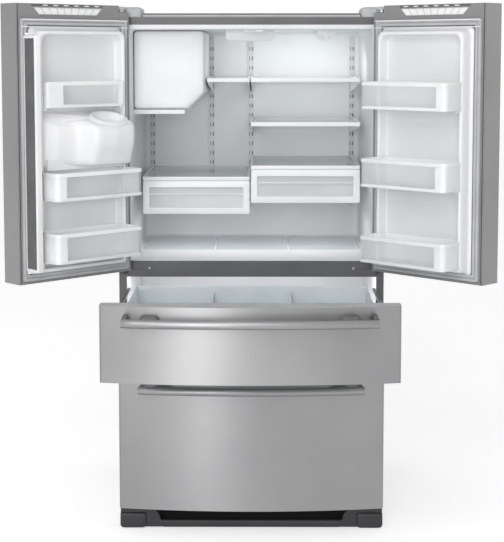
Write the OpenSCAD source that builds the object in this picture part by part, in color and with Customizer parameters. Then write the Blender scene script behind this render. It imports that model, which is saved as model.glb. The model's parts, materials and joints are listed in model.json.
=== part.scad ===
// French-door bottom freezer refrigerator, with both doors open and the upper drawer drawn out.
// Millimetres: x to the right, y to the back, z up. The front flange of the cabinet lies at y = 0,
// the floor at z = 0, and x = 0 is the middle of the cabinet.

/* [Cabinet] */
// Width of the cabinet
cabinet_w = 905; // [880:5:940]
// Depth of the cabinet without the doors
cabinet_d = 730; // [710:5:780]
// Height of the cabinet floor pan above the floor
base_h = 62; // [58:1:68]
// Thickness of the painted steel sheet
sheet_t = 1.5; // [1:0.1:2]
// Wall of the plastic liners
liner_t = 3; // [2:0.5:4]
// Width of the painted flange at each side
flange_w = 24; // [20:1:28]
// Thickness of the flange and rails
flange_t = 2; // [1.5:0.5:3]
// Foam and liner beside the refrigerated space
fridge_wall = 42.5; // [38:0.5:50]
// Foam and liner behind the refrigerated space
fridge_back = 90; // [80:1:120]
// Foam and liner behind the drawers
drawer_back = 125; // [115:1:150]
// Depth of the machine compartment
machine_d = 277; // [270:1:290]
// Height of the machine compartment above the floor pan
machine_h = 228; // [220:1:236]

/* [Fronts] */
// Height of the freezer drawer front's lower edge
toe_h = 75; // [72:1:85]
// Height of the freezer drawer front
freezer_front_h = 565; // [540:1:600]
// Gap between the two drawer fronts
front_gap = 5; // [4:1:8]
// Height of the upper drawer front
pantry_front_h = 233; // [225:1:250]
// Gap under the doors, where the lower hinges lie
hinge_gap = 15; // [14:1:18]
// Height of the doors
door_h = 891; // [880:1:920]
// Rise of the doors above the cabinet
door_over = 35; // [33:1:40]
// Gap between the two doors
door_gap = 3; // [2:1:5]
// Thickness of a front at its outer edge
edge_t = 54; // [50:1:60]
// Rise of the bowed fronts at the middle
bow_rise = 38; // [30:1:45]
// Radius of the fronts' upright corners
edge_r = 12; // [8:1:14]
// Thickness of the seals, with the fronts closed
gasket_t = 12; // [11:0.5:14]

/* [Door hinges] */
// Hinge axis, inwards from the cabinet's side
hinge_in = 16.5; // [15:0.5:18]
// Hinge axis, forwards from the flange
hinge_fwd = 35; // [32:1:38]
// Radius of the hinge pins
hinge_pin_r = 6; // [5:0.5:7]
// Opening angle shown
door_open = 136; // [120:1:140]

/* [Door inside] */
// Height of the raised liner rim
rim_p = 45; // [40:1:50]
// Width of the raised liner rim
rim_w = 15; // [12:1:18]
// Reach of the door bins from the door
bin_reach = 130; // [120:1:132]
// Wall of the bins
bin_wall = 2.5; // [2:0.5:3]
// Upright lift that frees a bin
bin_lift = 15; // [10:1:16]

/* [Shelves] */
// Setback of the shelf fronts behind the flange
shelf_y = 128; // [124:1:140]
// Thickness of the shelf frames
shelf_t = 14; // [12:1:18]
// Width of the shelf frames' rims
shelf_rim = 16; // [12:1:20]
// Thickness of the glass
glass_t = 4; // [3:0.5:5]
// Height of the upper shelves
shelf_z_upper = 1541; // [1520:1:1560]
// Height of the middle shelf
shelf_z_middle = 1388; // [1370:1:1410]
// Height of the right drawer's shelf
deli_z_right = 1237; // [1225:1:1250]
// Height of the left drawer's shelf
deli_z_left = 1198; // [1190:1:1210]
// Height of a drawer front below its shelf
deli_h = 116; // [100:1:124]
// Depth of the two inner drawers
deli_d = 420; // [380:5:440]

/* [Drawers] */
// Length that stays engaged in the upper drawer's slides, fully out
pantry_hold = 13; // [12:1:40]
// Space behind the upper drawer's slides
pantry_slide_end = 25; // [20:5:45]
// Space behind the freezer drawer's slides
freezer_slide_end = 45; // [25:5:65]
// Height of the slides' outer channel
slide_h = 45; // [42:1:50]
// Thickness of the slides' steel
slide_t = 1.5; // [1.2:0.1:1.6]
// Depth of the slides from the liner inwards
slide_w = 14.5; // [14:0.5:16]
// Running gap between slide members
slide_gap = 0.5; // [0.3:0.1:0.6]

/* [Handles] */
// Diameter of the handle bars
bar_d = 27; // [24:1:30]
// Distance of a bar's middle from the front
bar_off = 43; // [40:1:46]
// Half length of the drawer handles
bar_half = 380; // [360:1:395]
// Length of the door handles
door_bar_l = 720; // [600:10:780]

/* [Feet] */
// Height of the foot pads
foot_pad_t = 8; // [6:1:10]
// Radius of the foot pads
foot_pad_r = 22; // [18:1:25]
// Radius of the rear rollers
roller_r = 22; // [20:1:24]

/* [Hidden] */
$fn = 48;
eps = 0.01;

// Heights of the fronts, from the toe space upwards
freezer_z0 = toe_h;
freezer_z1 = freezer_z0 + freezer_front_h;
pantry_z0 = freezer_z1 + front_gap;
pantry_z1 = pantry_z0 + pantry_front_h;
door_z0 = pantry_z1 + hinge_gap;
door_z1 = door_z0 + door_h;
cabinet_h = door_z1 - door_over;

// Openings of the cabinet: half widths, heights and depths
half_w = cabinet_w / 2;
frame_x = half_w - sheet_t - flange_w;
fridge_x = half_w - fridge_wall;
freezer_open_z0 = freezer_z0 + 17;
freezer_open_z1 = freezer_z1 - 8;
pantry_open_z0 = pantry_z0 + 10;
pantry_open_z1 = pantry_z1 - 12;
fridge_z0 = door_z0 + 31;
fridge_z1 = cabinet_h - 43;
trim_z1 = cabinet_h - 26;
floor_t = 9;
sill_d = 240;
back_y = cabinet_d - sheet_t;
fridge_y = cabinet_d - fridge_back;
drawer_y = cabinet_d - drawer_back;
pantry_slide_l = drawer_y - pantry_slide_end;
pantry_open = pantry_slide_l - pantry_hold;
freezer_slide_l = drawer_y - freezer_slide_end;
machine_y = cabinet_d - machine_d;
machine_z1 = base_h + flange_t + machine_h;
machine_skin = 20;
rail_d = 18;
hair = 0.1;

// The fronts: bowed on one large radius about an upright line far behind the cabinet
front_w = cabinet_w - 2;
front_x = front_w / 2;
in_y = -gasket_t;
edge_y = in_y - edge_t;
bow_r = (half_w * half_w + bow_rise * bow_rise) / (2 * bow_rise);
bow_c = edge_y - bow_rise + bow_r;
door_x0 = -front_x;
door_x1 = -door_gap / 2;
panel_t = 3;
cap_h = 48;
foot_cap_h = 32;
skin_back = in_y - panel_t;
edge_crease = 0.4;

// Hinges
hinge_x = half_w - hinge_in;
arm_r = 13;
arm_t = 5;
arm_z = door_z1 - 20;
notch_z = arm_z - 2;
notch_w = 42;
hinge_foot_t = 5;
cover_w = 84;
cover_x = half_w - cover_w;
cover_d = 126;
cover_wall = 2;
cover_z1 = door_z1 - 2;
run_gap = 0.05;
low_arm_z = pantry_z1 + 3;

// Inside of the doors, measured from the hinge edge and from the inner face
rim_x0 = door_x0 + 48;
rim_x1 = door_x1 - 54;
rim_z0 = door_z0 + 36;
rim_z1 = door_z1 - 84;
pocket_y = in_y + 5;
rim_y = in_y + rim_p;
seal_w = 20;
seal_x0 = door_x0 + 17;
seal_x1 = door_x1 - 12;
seal_z0 = door_z0 + 11;
seal_z1 = door_z1 - 48;
seal_gap = 0.3;
bin_over_x0 = 2;
bin_over_x1 = 4;
bin_x0 = rim_x0 + bin_over_x0;
bin_x1 = rim_x1 - bin_over_x1;
bin_y1 = in_y + bin_reach;
bin_tongue = 3;
window_end = 63;
bin_rim_h = 12;
bin_foot_h = 10;

// Door bins: lower and upper edge
left_upper = [1455, 1537];
left_middle = [1164, 1252];
left_lower = [966, 1061];
right_upper = [1447, 1535];
right_middle = [1193, 1285];
right_lower = [rim_z0 + rim_w + 0.2, 1031];

// Flap between the doors, on the left door, folded back
flap_w = 22;
flap_l = 70;
flap_x = -25;
flap_y = gasket_t;
flap_z0 = rim_z0 + 11;
flap_z1 = rim_z1 - 17;
flap_ear_t = 6;
flap_pin_r = 4;

// Ice chute and dispenser in the left door
chute_x = door_x0 + 112;
chute_y = 64;
chute_z1 = 1428;
chute_z0 = 1270;
niche_x = [door_x0 + 96, door_x0 + 306];
niche_z = [1120, 1390];
niche_y1 = -26;
niche_t = 3;
panel_z1 = 1505;
chute_r = 24;

// Handles
bar_r = bar_d / 2;
bar_post_z = 26;
door_bar_in = 55;
door_bar_x = door_x1 - door_bar_in;
door_bar_z0 = door_z0 + (door_h - door_bar_l) / 2;
pantry_bar_z = pantry_z1 - 43;
freezer_bar_z = freezer_z1 - 142;

// Slides
pantry_slide_z = pantry_open_z0 + 45;
freezer_slide_z = machine_z1 + machine_skin + liner_t + 35;
slide_y0 = 10;
carriage_t = 3;
ledge_w = 20;

// Shelves and ladders
shelf_left_x0 = -fridge_x + 30;
shelf_centre_x0 = -155;
shelf_mid_x = -5;
shelf_right_x1 = fridge_x - 32;
shelf_part = 3;
ladder_w = 20;
ladder_t = 6;
ladder_y = fridge_y - ladder_t;

// Plain box between two corners
module box(x0, x1, y0, y1, z0, z1)
    translate([x0, y0, z0]) cube([x1 - x0, y1 - y0, z1 - z0]);

// Rectangle with round corners, between two corners
module rounded(x0, x1, z0, z1, r) {
    translate([x0 + r, z0]) square([x1 - x0 - 2 * r, z1 - z0]);
    translate([x0, z0 + r]) square([x1 - x0, z1 - z0 - 2 * r]);
    for (x = [x0 + r, x1 - r], z = [z0 + r, z1 - r])
        translate([x, z]) circle(r);
}

// Outline in x and z, carried from y0 to y1
module along_y(y0, y1)
    translate([0, y1, 0]) rotate([90, 0, 0]) linear_extrude(y1 - y0) children();

// Outline in y and z, carried from x0 to x1
module along_x(x0, x1)
    translate([x0, 0, 0]) rotate([90, 0, 90]) linear_extrude(x1 - x0) children();

// Outline in x and y, carried from z0 to z1
module along_z(z0, z1)
    translate([0, 0, z0]) linear_extrude(z1 - z0) children();

module both_sides() {
    children();
    mirror([1, 0, 0]) children();
}

// A left door part, turned from closed to the angle shown
module left_open()
    translate([-hinge_x, -hinge_fwd, 0]) rotate([0, 0, -door_open])
        translate([hinge_x, hinge_fwd, 0]) children();

module right_open()
    mirror([1, 0, 0]) left_open() children();

module pantry_pulled()
    translate([0, -pantry_open, 0]) children();

// Plan of a bowed front between x0 and x1, drawn in by i, with round outer corners
module bowed(x0, x1, i, y_back) {
    low = bow_c - bow_r - 1;
    difference() {
        intersection() {
            translate([x0 + i, low]) square([x1 - x0 - 2 * i, y_back - low]);
            translate([0, bow_c]) circle(bow_r - i, $fn = 1440);
        }
        bowed_corner(x0 + edge_r, i, -1);
        bowed_corner(x1 - edge_r, i, 1);
    }
}

// What a round corner leaves off, outwards (side -1 or 1) from its centre at x. The round is a
// little larger than the one that just touches, so that it meets both faces at a slight crease.
module bowed_corner(x, i, side) {
    reach = bow_r - edge_r;
    translate([x, bow_c - sqrt(reach * reach - x * x)]) difference() {
        translate([side < 0 ? -2 * edge_r : 0, -3 * edge_r]) square([2 * edge_r, 3 * edge_r]);
        circle(edge_r - i + edge_crease);
    }
}

function bow_y(x) = bow_c - sqrt(bow_r * bow_r - x * x);

// Plan of the ring between two bow radii, used for what lies on a bowed face
module bow_band(x0, x1, out, in)
    difference() {
        intersection() {
            translate([x0, bow_c - bow_r - out - 1]) square([x1 - x0, bow_rise + out + 60]);
            translate([0, bow_c]) circle(bow_r + out, $fn = 1440);
        }
        translate([0, bow_c]) circle(bow_r - in, $fn = 1440);
    }

// Cabinet, outside

module cabinet_outline(i) {
    top_r = 6;
    difference() {
        rounded(-half_w + i, half_w - i, base_h - 20, cabinet_h - i, top_r - i);
        translate([-half_w, base_h - 30]) square([cabinet_w, 30]);
    }
}

module cabinet_shell() color("silver")
    along_y(0, cabinet_d) difference() {
        cabinet_outline(0);
        cabinet_outline(sheet_t);
        translate([-half_w + sheet_t, base_h - 1]) square([cabinet_w - 2 * sheet_t, 10]);
    }

module front_frame() color([0.55, 0.55, 0.55]) {
    both_sides() flange_strip(frame_x, half_w, base_h, cabinet_h);
    flange_strip(-frame_x + hair, frame_x - hair, base_h, freezer_open_z0);
    flange_strip(-frame_x + hair, frame_x - hair, trim_z1, cabinet_h);
    mid_rail();
    low_rail();
}

// One strip of the flange, inside the cabinet's sheet
module flange_strip(x0, x1, z0, z1)
    along_y(0, flange_t) intersection() {
        cabinet_outline(sheet_t);
        translate([x0, z0]) square([x1 - x0, z1 - z0]);
    }

module mid_rail() {
    box(-frame_x + hair, frame_x - hair, 0, flange_t, pantry_open_z1, fridge_z0 - liner_t);
    box(-fridge_x, fridge_x, flange_t, rail_d, pantry_open_z1 + liner_t, fridge_z0 - floor_t);
}

module low_rail() {
    box(-frame_x + hair, frame_x - hair, 0, flange_t, freezer_open_z1, pantry_open_z0);
    box(-frame_x, frame_x, flange_t, rail_d,
        freezer_open_z1 + liner_t, pantry_open_z0 - liner_t);
}

// One foam panel, a hair clear of what it fills
module foam(x0, x1, y0, y1, z0, z1)
    box(x0 + hair, x1 - hair, y0 + hair, y1 - hair, z0 + hair, z1 - hair);

module insulation() color("khaki") {
    in_x = half_w - sheet_t;
    up_z0 = pantry_open_z1 + liner_t;
    up_z1 = fridge_z1 + liner_t;
    pan_z = base_h + flange_t;
    both_sides() {
        foam(fridge_x + liner_t, in_x, liner_t, fridge_y + liner_t, up_z0, up_z1);
        foam(frame_x + liner_t, in_x, flange_t, drawer_y + liner_t, machine_z1, up_z0);
        foam(frame_x + liner_t, in_x, flange_t, machine_y, pan_z, machine_z1);
    }
    foam(8 - in_x, in_x - 8, liner_t, back_y, up_z1, cabinet_h - sheet_t);
    foam(-in_x, in_x, fridge_y + liner_t, back_y, up_z0, up_z1);
    foam(-fridge_x - liner_t, fridge_x + liner_t, rail_d, fridge_y + liner_t,
        up_z0, fridge_z0 - floor_t);
    foam(-frame_x, frame_x, rail_d, drawer_y + liner_t,
        freezer_open_z1 + liner_t, pantry_open_z0 - liner_t);
    foam(-in_x, in_x, drawer_y + liner_t, back_y, machine_z1, up_z0);
    foam(-frame_x - liner_t, frame_x + liner_t, machine_y - machine_skin, drawer_y + liner_t,
        machine_z1, machine_z1 + machine_skin);
    foam(-frame_x - liner_t, frame_x + liner_t, machine_y - machine_skin, machine_y,
        pan_z, machine_z1);
    foam(-frame_x - liner_t, frame_x + liner_t, flange_t, machine_y - machine_skin,
        pan_z, freezer_open_z0 - liner_t);
}

// Liners

module fridge_liner() color("white") {
    pan_w = 255;
    pan_step = 263;
    difference() {
        union() {
            box(-fridge_x - liner_t, fridge_x + liner_t, 0, fridge_y + liner_t,
                fridge_z0, fridge_z1 + liner_t);
            box(-frame_x, frame_x, 0, liner_t, fridge_z0, trim_z1);
        }
        box(-fridge_x, fridge_x, -1, fridge_y, fridge_z0 - 1, fridge_z1);
    }
    difference() {
        union() {
            box(-frame_x, frame_x, 0, liner_t, fridge_z0 - liner_t, fridge_z0);
            box(-fridge_x - liner_t, fridge_x + liner_t, liner_t - eps, rail_d + eps,
                fridge_z0 - liner_t, fridge_z0);
            box(-fridge_x - liner_t, fridge_x + liner_t, rail_d, fridge_y + liner_t,
                fridge_z0 - floor_t, fridge_z0);
        }
        for (i = [-1:1])
            along_z(fridge_z0 - 6, fridge_z0 + 1)
                rounded(i * pan_step - pan_w / 2, i * pan_step + pan_w / 2,
                    sill_d, fridge_y - 25, 12);
    }
    flap_guide();
}

// Block under the ceiling that turns the flap as the door closes
module flap_guide()
    difference() {
        box(-24, 40, 6, 48, fridge_z1 - 7, fridge_z1);
        box(-14, 14, 5, 30, fridge_z1 - 8, fridge_z1 - 2);
    }

module pantry_liner() color("white")
    difference() {
        box(-frame_x - liner_t, frame_x + liner_t, flange_t, drawer_y + liner_t,
            pantry_open_z0 - liner_t, pantry_open_z1 + liner_t);
        box(-frame_x, frame_x, flange_t - 1, drawer_y, pantry_open_z0, pantry_open_z1);
        box(-frame_x - 5, frame_x + 5, flange_t - 1, rail_d,
            pantry_open_z0 - liner_t - 1, pantry_open_z0 - liner_t);
    }

module freezer_liner() color("white") {
    step_z = machine_z1 + machine_skin;
    step_y = machine_y - machine_skin;
    difference() {
        union() {
            box(-frame_x - liner_t, frame_x + liner_t, flange_t, drawer_y + liner_t,
                step_z, freezer_open_z1 + liner_t);
            box(-frame_x - liner_t, frame_x + liner_t, flange_t, step_y,
                freezer_open_z0 - liner_t, step_z + 1);
        }
        box(-frame_x, frame_x, 0, drawer_y, step_z + liner_t, freezer_open_z1);
        box(-frame_x, frame_x, 0, step_y - liner_t, freezer_open_z0, step_z + liner_t + 1);
    }
}

// Shelves

module shelf_ladders() color("lightgray") {
    ladder_z0 = 1040;
    ladder_z1 = fridge_z1 - 16;
    slot_h = 16;
    slot_step = 40;
    slot_w = 5;
    for (x = [shelf_left_x0 - 1, shelf_centre_x0, shelf_mid_x, shelf_right_x1 + 1])
        difference() {
            box(x - ladder_w / 2, x + ladder_w / 2, ladder_y, fridge_y, ladder_z0, ladder_z1);
            for (z = [ladder_z0 + 20 : slot_step : ladder_z1 - 30])
                box(x - slot_w / 2, x + slot_w / 2, ladder_y - 1, fridge_y - 2, z, z + slot_h);
        }
}

// Frame and side brackets of one shelf, from x0 to x1, with its top at z
module shelf_frame(x0, x1, z) {
    lip = 6;
    y1 = ladder_y - 12;
    difference() {
        along_z(z - shelf_t, z) rounded(x0, x1, shelf_y, y1, 5);
        along_z(z - shelf_t - 1, z + 1)
            rounded(x0 + shelf_rim, x1 - shelf_rim, shelf_y + shelf_rim, y1 - shelf_rim, 5);
        along_z(z - glass_t - 1, z + 1)
            rounded(x0 + lip, x1 - lip, shelf_y + lip, y1 - lip, 3);
    }
    for (x = [x0 + 2, x1 - 5])
        along_x(x, x + 3)
            polygon([[shelf_y + 60, z - shelf_t - hair], [ladder_y, z - shelf_t - hair],
                [ladder_y, z - shelf_t - 46], [ladder_y - 40, z - shelf_t - 46],
                [shelf_y + 60, z - shelf_t - 8]]);
}

module shelf_pane(x0, x1, z) {
    lip = 6.2;
    along_z(z - glass_t - 1, z - 1)
        rounded(x0 + lip, x1 - lip, shelf_y + lip, ladder_y - 12 - lip, 3);
}

// Every shelf: left edge, right edge and height
shelves = [
    [shelf_centre_x0, shelf_mid_x - shelf_part / 2, shelf_z_upper],
    [shelf_mid_x + shelf_part / 2, shelf_right_x1, shelf_z_upper],
    [shelf_mid_x + shelf_part / 2, shelf_right_x1, shelf_z_middle],
    [shelf_left_x0, shelf_mid_x - shelf_part / 2, deli_z_left],
    [shelf_mid_x + shelf_part / 2, shelf_right_x1, deli_z_right]];

module shelf_frames() color("white") {
    for (s = shelves)
        shelf_frame(s[0], s[1], s[2]);
    deli_runners(shelves[3]);
    deli_runners(shelves[4]);
}

module shelf_glass() color([0.8, 0.9, 0.88, 0.5])
    for (s = shelves)
        shelf_pane(s[0], s[1], s[2]);

// Inner drawers, hung on runners under their shelves

runner_w = 12;
runner_drop = 16;
deli_inset = 10;

module deli_runners(s)
    for (x = [s[0] + 6, s[1] - 6 - runner_w])
        difference() {
            box(x, x + runner_w, shelf_y + 12, shelf_y + deli_d,
                s[2] - shelf_t - runner_drop, s[2] - shelf_t - hair);
            inner = x < (s[0] + s[1]) / 2 ? x + 3 : x - 1;
            box(inner, inner + runner_w - 2, shelf_y + 11, shelf_y + deli_d + 1,
                s[2] - shelf_t - runner_drop + 3, s[2] - shelf_t - 3);
        }

// Drawer under shelf s: tub with rims that ride in the runners, and a front with a window
module deli_drawer(s) {
    x0 = s[0] + 1;
    x1 = s[1] - 1;
    z1 = s[2] - shelf_t - 1;
    z0 = s[2] - shelf_t - deli_h;
    tub_x0 = s[0] + 6 + runner_w + 1;
    tub_x1 = s[1] - 6 - runner_w - 1;
    rim_z = z1 - runner_drop + 4.5;
    win_in = 22;
    front_t = 11;
    y1 = shelf_y + deli_d - 10;
    difference() {
        along_y(shelf_y, shelf_y + front_t) rounded(x0, x1, z0, z1, 5);
        along_y(shelf_y - 1, shelf_y + front_t + 1)
            rounded(x0 + win_in, x1 - win_in, z0 + 22, z1 - 22, 4);
    }
    along_y(shelf_y + 3, shelf_y + 6)
        rounded(x0 + win_in, x1 - win_in, z0 + 22, z1 - 22, 4);
    difference() {
        union() {
            box(tub_x0, tub_x1, shelf_y + front_t, y1, z0 + 2, rim_z + 3);
            box(tub_x0 - deli_inset + 1, tub_x1 + deli_inset - 1, shelf_y + front_t + 2, y1,
                rim_z, rim_z + 3);
        }
        box(tub_x0 + bin_wall, tub_x1 - bin_wall, shelf_y + front_t + bin_wall, y1 - bin_wall,
            z0 + 2 + bin_wall, z1);
    }
}

module deli_drawer_left() color("whitesmoke") deli_drawer(shelves[3]);

module deli_drawer_right() color("whitesmoke") deli_drawer(shelves[4]);

// Ice maker housing and its bin

ice_x1 = -163;
ice_z0 = 1433;
ice_wall = 4;
ice_front_t = 46;
ice_y1 = fridge_y - 20;
ice_drop_w = 92;
ice_drop_x = chute_x - 2.5;

module ice_outline(i) {
    chamfer = 62;
    difference() {
        rounded(-fridge_x + i, ice_x1 - i, ice_z0 + i, fridge_z1 - i, 14);
        translate([ice_x1 - i + 0.4 * i, ice_z0 + i]) rotate(45)
            square([chamfer * 1.3, chamfer * 1.3], center = true);
    }
}

module ice_housing() color("white") {
    y0 = shelf_y + ice_front_t;
    difference() {
        along_y(y0, ice_y1) ice_outline(0);
        along_y(y0 - 1, ice_y1 - ice_wall) ice_outline(ice_wall);
    }
    box(-fridge_x + 40, ice_x1 - 40, y0 + 60, ice_y1 - ice_wall,
        fridge_z1 - 70, fridge_z1 - ice_wall);
    light_strip();
}

// Light bar under the ice housing, back from the door's ice chute
module light_strip()
    box(-fridge_x, ice_x1 - 70, shelf_y + 12, shelf_y + 40, ice_z0 - 17, ice_z0 - 1);

module ice_bin() color("white") {
    y0 = shelf_y - 3;
    y1 = shelf_y + ice_front_t - seal_gap;
    tub = [-fridge_x + 12, ice_x1 - 22];
    difference() {
        along_y(y0, y1) ice_outline(2);
        along_y(y0 + 3, y1 + 1) ice_outline(12);
        along_z(ice_z0 - 1, ice_z0 + 16)
            rounded(ice_drop_x - ice_drop_w / 2, ice_drop_x + ice_drop_w / 2, y0 + 8, y1 - 6, 8);
    }
    difference() {
        box(tub[0], tub[1], y0 + 3 - eps, ice_y1 - 60, ice_z0 + 46, fridge_z1 - 90);
        box(tub[0] + 3, tub[1] - 3, y0 + 6, ice_y1 - 63, ice_z0 + 49, fridge_z1);
        box(ice_drop_x - 30, ice_drop_x + 30, y0 + 10, y1 - 8, ice_z0 + 40, ice_z0 + 60);
    }
}

// Lamp and control housing, and the water filter, under the ceiling

filter_x = 258;
filter_z = fridge_z1 - 17;
filter_r = 13;
filter_l = 250;

module filter_outline(r)
    intersection() {
        translate([filter_x, fridge_z1]) circle(r);
        translate([filter_x - r, fridge_z1 - r - 1]) square([2 * r, r + 1]);
    }

module control_housing() color("white") {
    lamp = [-89, 79];
    difference() {
        along_y(140, 330) intersection() {
            rounded(lamp[0], lamp[1], fridge_z1 - 36, fridge_z1 + 20, 12);
            translate([lamp[0], fridge_z1 - 40]) square([lamp[1] - lamp[0], 40]);
        }
        box(lamp[0] + 20, lamp[1] - 20, 165, 310, fridge_z1 - 37, fridge_z1 - 32);
    }
    difference() {
        along_y(150.3, 150 + filter_l + 20) filter_outline(34);
        translate([filter_x, 149, filter_z]) rotate([-90, 0, 0])
            cylinder(r = filter_r + seal_gap, h = filter_l + 2);
    }
}

module filter_cap() color("white") {
    difference() {
        along_y(132, 150) filter_outline(33);
        translate([filter_x, 128, fridge_z1 - 40]) cylinder(r = 16, h = 18);
    }
    translate([filter_x, 149.5, filter_z]) rotate([-90, 0, 0])
        cylinder(r = filter_r, h = filter_l);
}

// Hinges of the doors

module upper_hinge() {
    translate([-hinge_x, -hinge_fwd, arm_z]) cylinder(r = arm_r, h = arm_t);
    translate([-hinge_x, -hinge_fwd, arm_z - 22]) cylinder(r = hinge_pin_r, h = 22 + eps);
    box(-hinge_x - arm_r, -hinge_x + arm_r, -hinge_fwd, 13, arm_z, arm_z + arm_t);
    box(-hinge_x - arm_r + 4, -hinge_x + arm_r, 8, 13, cabinet_h, arm_z + arm_t);
    box(-half_w + 6, -half_w + 80, 8, 118, cabinet_h, cabinet_h + hinge_foot_t);
    for (y = [40, 70, 100])
        translate([-half_w + 56, y, cabinet_h + hinge_foot_t]) cylinder(r = 6, h = 4, $fn = 6);
}

module upper_hinges() color("dimgray") both_sides() upper_hinge();

module hinge_covers() color([0.12, 0.12, 0.12]) both_sides() {
    nose_r = arm_r + 2;
    difference() {
        union() {
            along_z(cabinet_h, cover_z1) rounded(-half_w, -cover_x, 2, cover_d, 10);
            along_z(arm_z + arm_t + 0.5, cover_z1) {
                translate([-hinge_x, -hinge_fwd]) circle(nose_r);
                translate([-hinge_x - nose_r, -hinge_fwd]) square([2 * nose_r, 50]);
            }
        }
        along_z(cabinet_h - 1, cover_z1 - cover_wall)
            rounded(-half_w + cover_wall, -cover_x - cover_wall, 2 + cover_wall,
                cover_d - cover_wall, 8);
        box(-hinge_x - arm_r - 1, -hinge_x + arm_r + 1, 0, 14, arm_z - 1, arm_z + arm_t + 1);
    }
}

module lower_hinges() color("dimgray") both_sides() {
    plate_x = 350;
    translate([-hinge_x, -hinge_fwd, low_arm_z]) cylinder(r = arm_r, h = arm_t);
    translate([-hinge_x, -hinge_fwd, low_arm_z + arm_t - eps])
        cylinder(r = hinge_pin_r + 4, h = hinge_gap - 3 - arm_t - 0.2);
    translate([-hinge_x, -hinge_fwd, low_arm_z + arm_t - eps])
        cylinder(r = hinge_pin_r, h = 22);
    box(-hinge_x - arm_r, -hinge_x + arm_r, -hinge_fwd, -2, low_arm_z, low_arm_z + arm_t);
    box(-hinge_x - arm_r, -plate_x, -4, 0, pantry_z1 - 2, door_z0 - 1);
    for (x = [-plate_x - 12, -plate_x - 34])
        translate([x, -4, pantry_z1 + 6]) rotate([90, 0, 0]) cylinder(r = 5, h = 3);
}

// Toe grille and foot covers

module toe_grille() color([0.1, 0.1, 0.1]) {
    cover = [360, front_x];
    slot_h = 5;
    difference() {
        box(-cover[0] + 1, cover[0] - 1, in_y, 0, 9, toe_h - 2);
        box(-cover[0] + 4, cover[0] - 4, in_y + 3, 1, 12, base_h);
        for (z = [17 : 11 : toe_h - 14], i = [-2:2])
            box(i * 138 - 64, i * 138 + 64, in_y - 1, in_y + 4, z, z + slot_h);
    }
    both_sides() difference() {
        along_z(1, toe_h - 2) rounded(cover[0], cover[1], in_y - 40, 0, 10);
        along_z(0, toe_h - 5) rounded(cover[0] + 3, cover[1] - 3, in_y - 37, 10, 8);
    }
}

// Underside and machine compartment

foot_x = half_w - 45;
foot_y = 60;
stud_r = 6;
roller_y = cabinet_d - 62;
roller_w = 16;
axle_r = 4;

module base_frame() color("gray") {
    beam_h = 20;
    in_x = half_w - sheet_t;
    box(-in_x, in_x, flange_t, back_y, base_h, base_h + flange_t);
    both_sides() {
        difference() {
            box(foot_x - 25, foot_x + 40, 4, machine_y, base_h - beam_h, base_h);
            box(foot_x - 23, foot_x + 38, 6, machine_y + 1, base_h - beam_h + 2, base_h + 1);
            translate([foot_x, foot_y, base_h - beam_h - 1]) cylinder(r = stud_r + 0.3, h = 4);
        }
        for (x = [foot_x - roller_w / 2 - 4, foot_x + roller_w / 2 + 1])
            box(x, x + 3, roller_y - 18, roller_y + 18, roller_r - 10, base_h);
        translate([foot_x - roller_w / 2 - 1.5, roller_y, roller_r]) rotate([0, 90, 0])
            cylinder(r = axle_r, h = roller_w + 3);
    }
}

module levelling_feet() color("silver") both_sides() {
    translate([foot_x, foot_y, 0]) cylinder(r = foot_pad_r, h = foot_pad_t);
    translate([foot_x, foot_y, foot_pad_t - eps]) cylinder(r = stud_r, h = base_h - foot_pad_t - 2);
    translate([foot_x, foot_y, base_h - 28]) cylinder(r = 11, h = 8, $fn = 6);
}

module rear_rollers() color("dimgray") both_sides()
    translate([foot_x - roller_w / 2, roller_y, roller_r]) rotate([0, 90, 0]) difference() {
        cylinder(r = roller_r, h = roller_w);
        translate([0, 0, -1]) cylinder(r = axle_r + run_gap, h = roller_w + 2);
    }

compressor_in = 202.5;
valve_in = 122.5;
valve_x = valve_in - half_w;
valve_z = base_h + 90;

module rear_panels() color("silver") {
    in_x = half_w - sheet_t;
    split_z = machine_z1 - 4;
    difference() {
        box(-in_x + 5, in_x - 5, back_y, cabinet_d, split_z + 2, cabinet_h - sheet_t);
        for (z = [split_z + 60 : 250 : cabinet_h - 100])
            box(-in_x + 60, in_x - 60, cabinet_d - 0.5, cabinet_d + 1, z, z + 8);
    }
    difference() {
        box(-in_x, in_x, back_y, cabinet_d, base_h + flange_t, split_z);
        for (z = [base_h + 30 : 16 : base_h + 190], x = [-60, 110, 280])
            box(x, x + 120, back_y - 1, cabinet_d + 1, z, z + 6);
        box(valve_x - 30, valve_x + 30, back_y - 1, cabinet_d + 1, valve_z - 30, valve_z + 30);
    }
}

module compressor() color([0.08, 0.08, 0.08]) {
    c = [half_w - compressor_in, cabinet_d - 135];
    z0 = base_h + flange_t;
    for (x = [-70, 70], y = [-50, 50])
        translate([c[0] + x, c[1] + y, z0]) cylinder(r = 12, h = 18);
    box(c[0] - 95, c[0] + 95, c[1] - 70, c[1] + 70, z0 + 18, z0 + 22);
    translate([c[0], c[1], z0 + 22 - eps]) cylinder(r = 78, h = 86);
    translate([c[0], c[1], z0 + 108 - eps]) intersection() {
        sphere(r = 78);
        cylinder(r = 80, h = 80);
    }
    translate([c[0] - 92, c[1] + 20, z0 + 60]) box(0, 22, -25, 25, 0, 50);
}

fan_x = -90;
fan_y = cabinet_d - 135;
fan_z = base_h + 120;
fan_r = 70;

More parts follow.
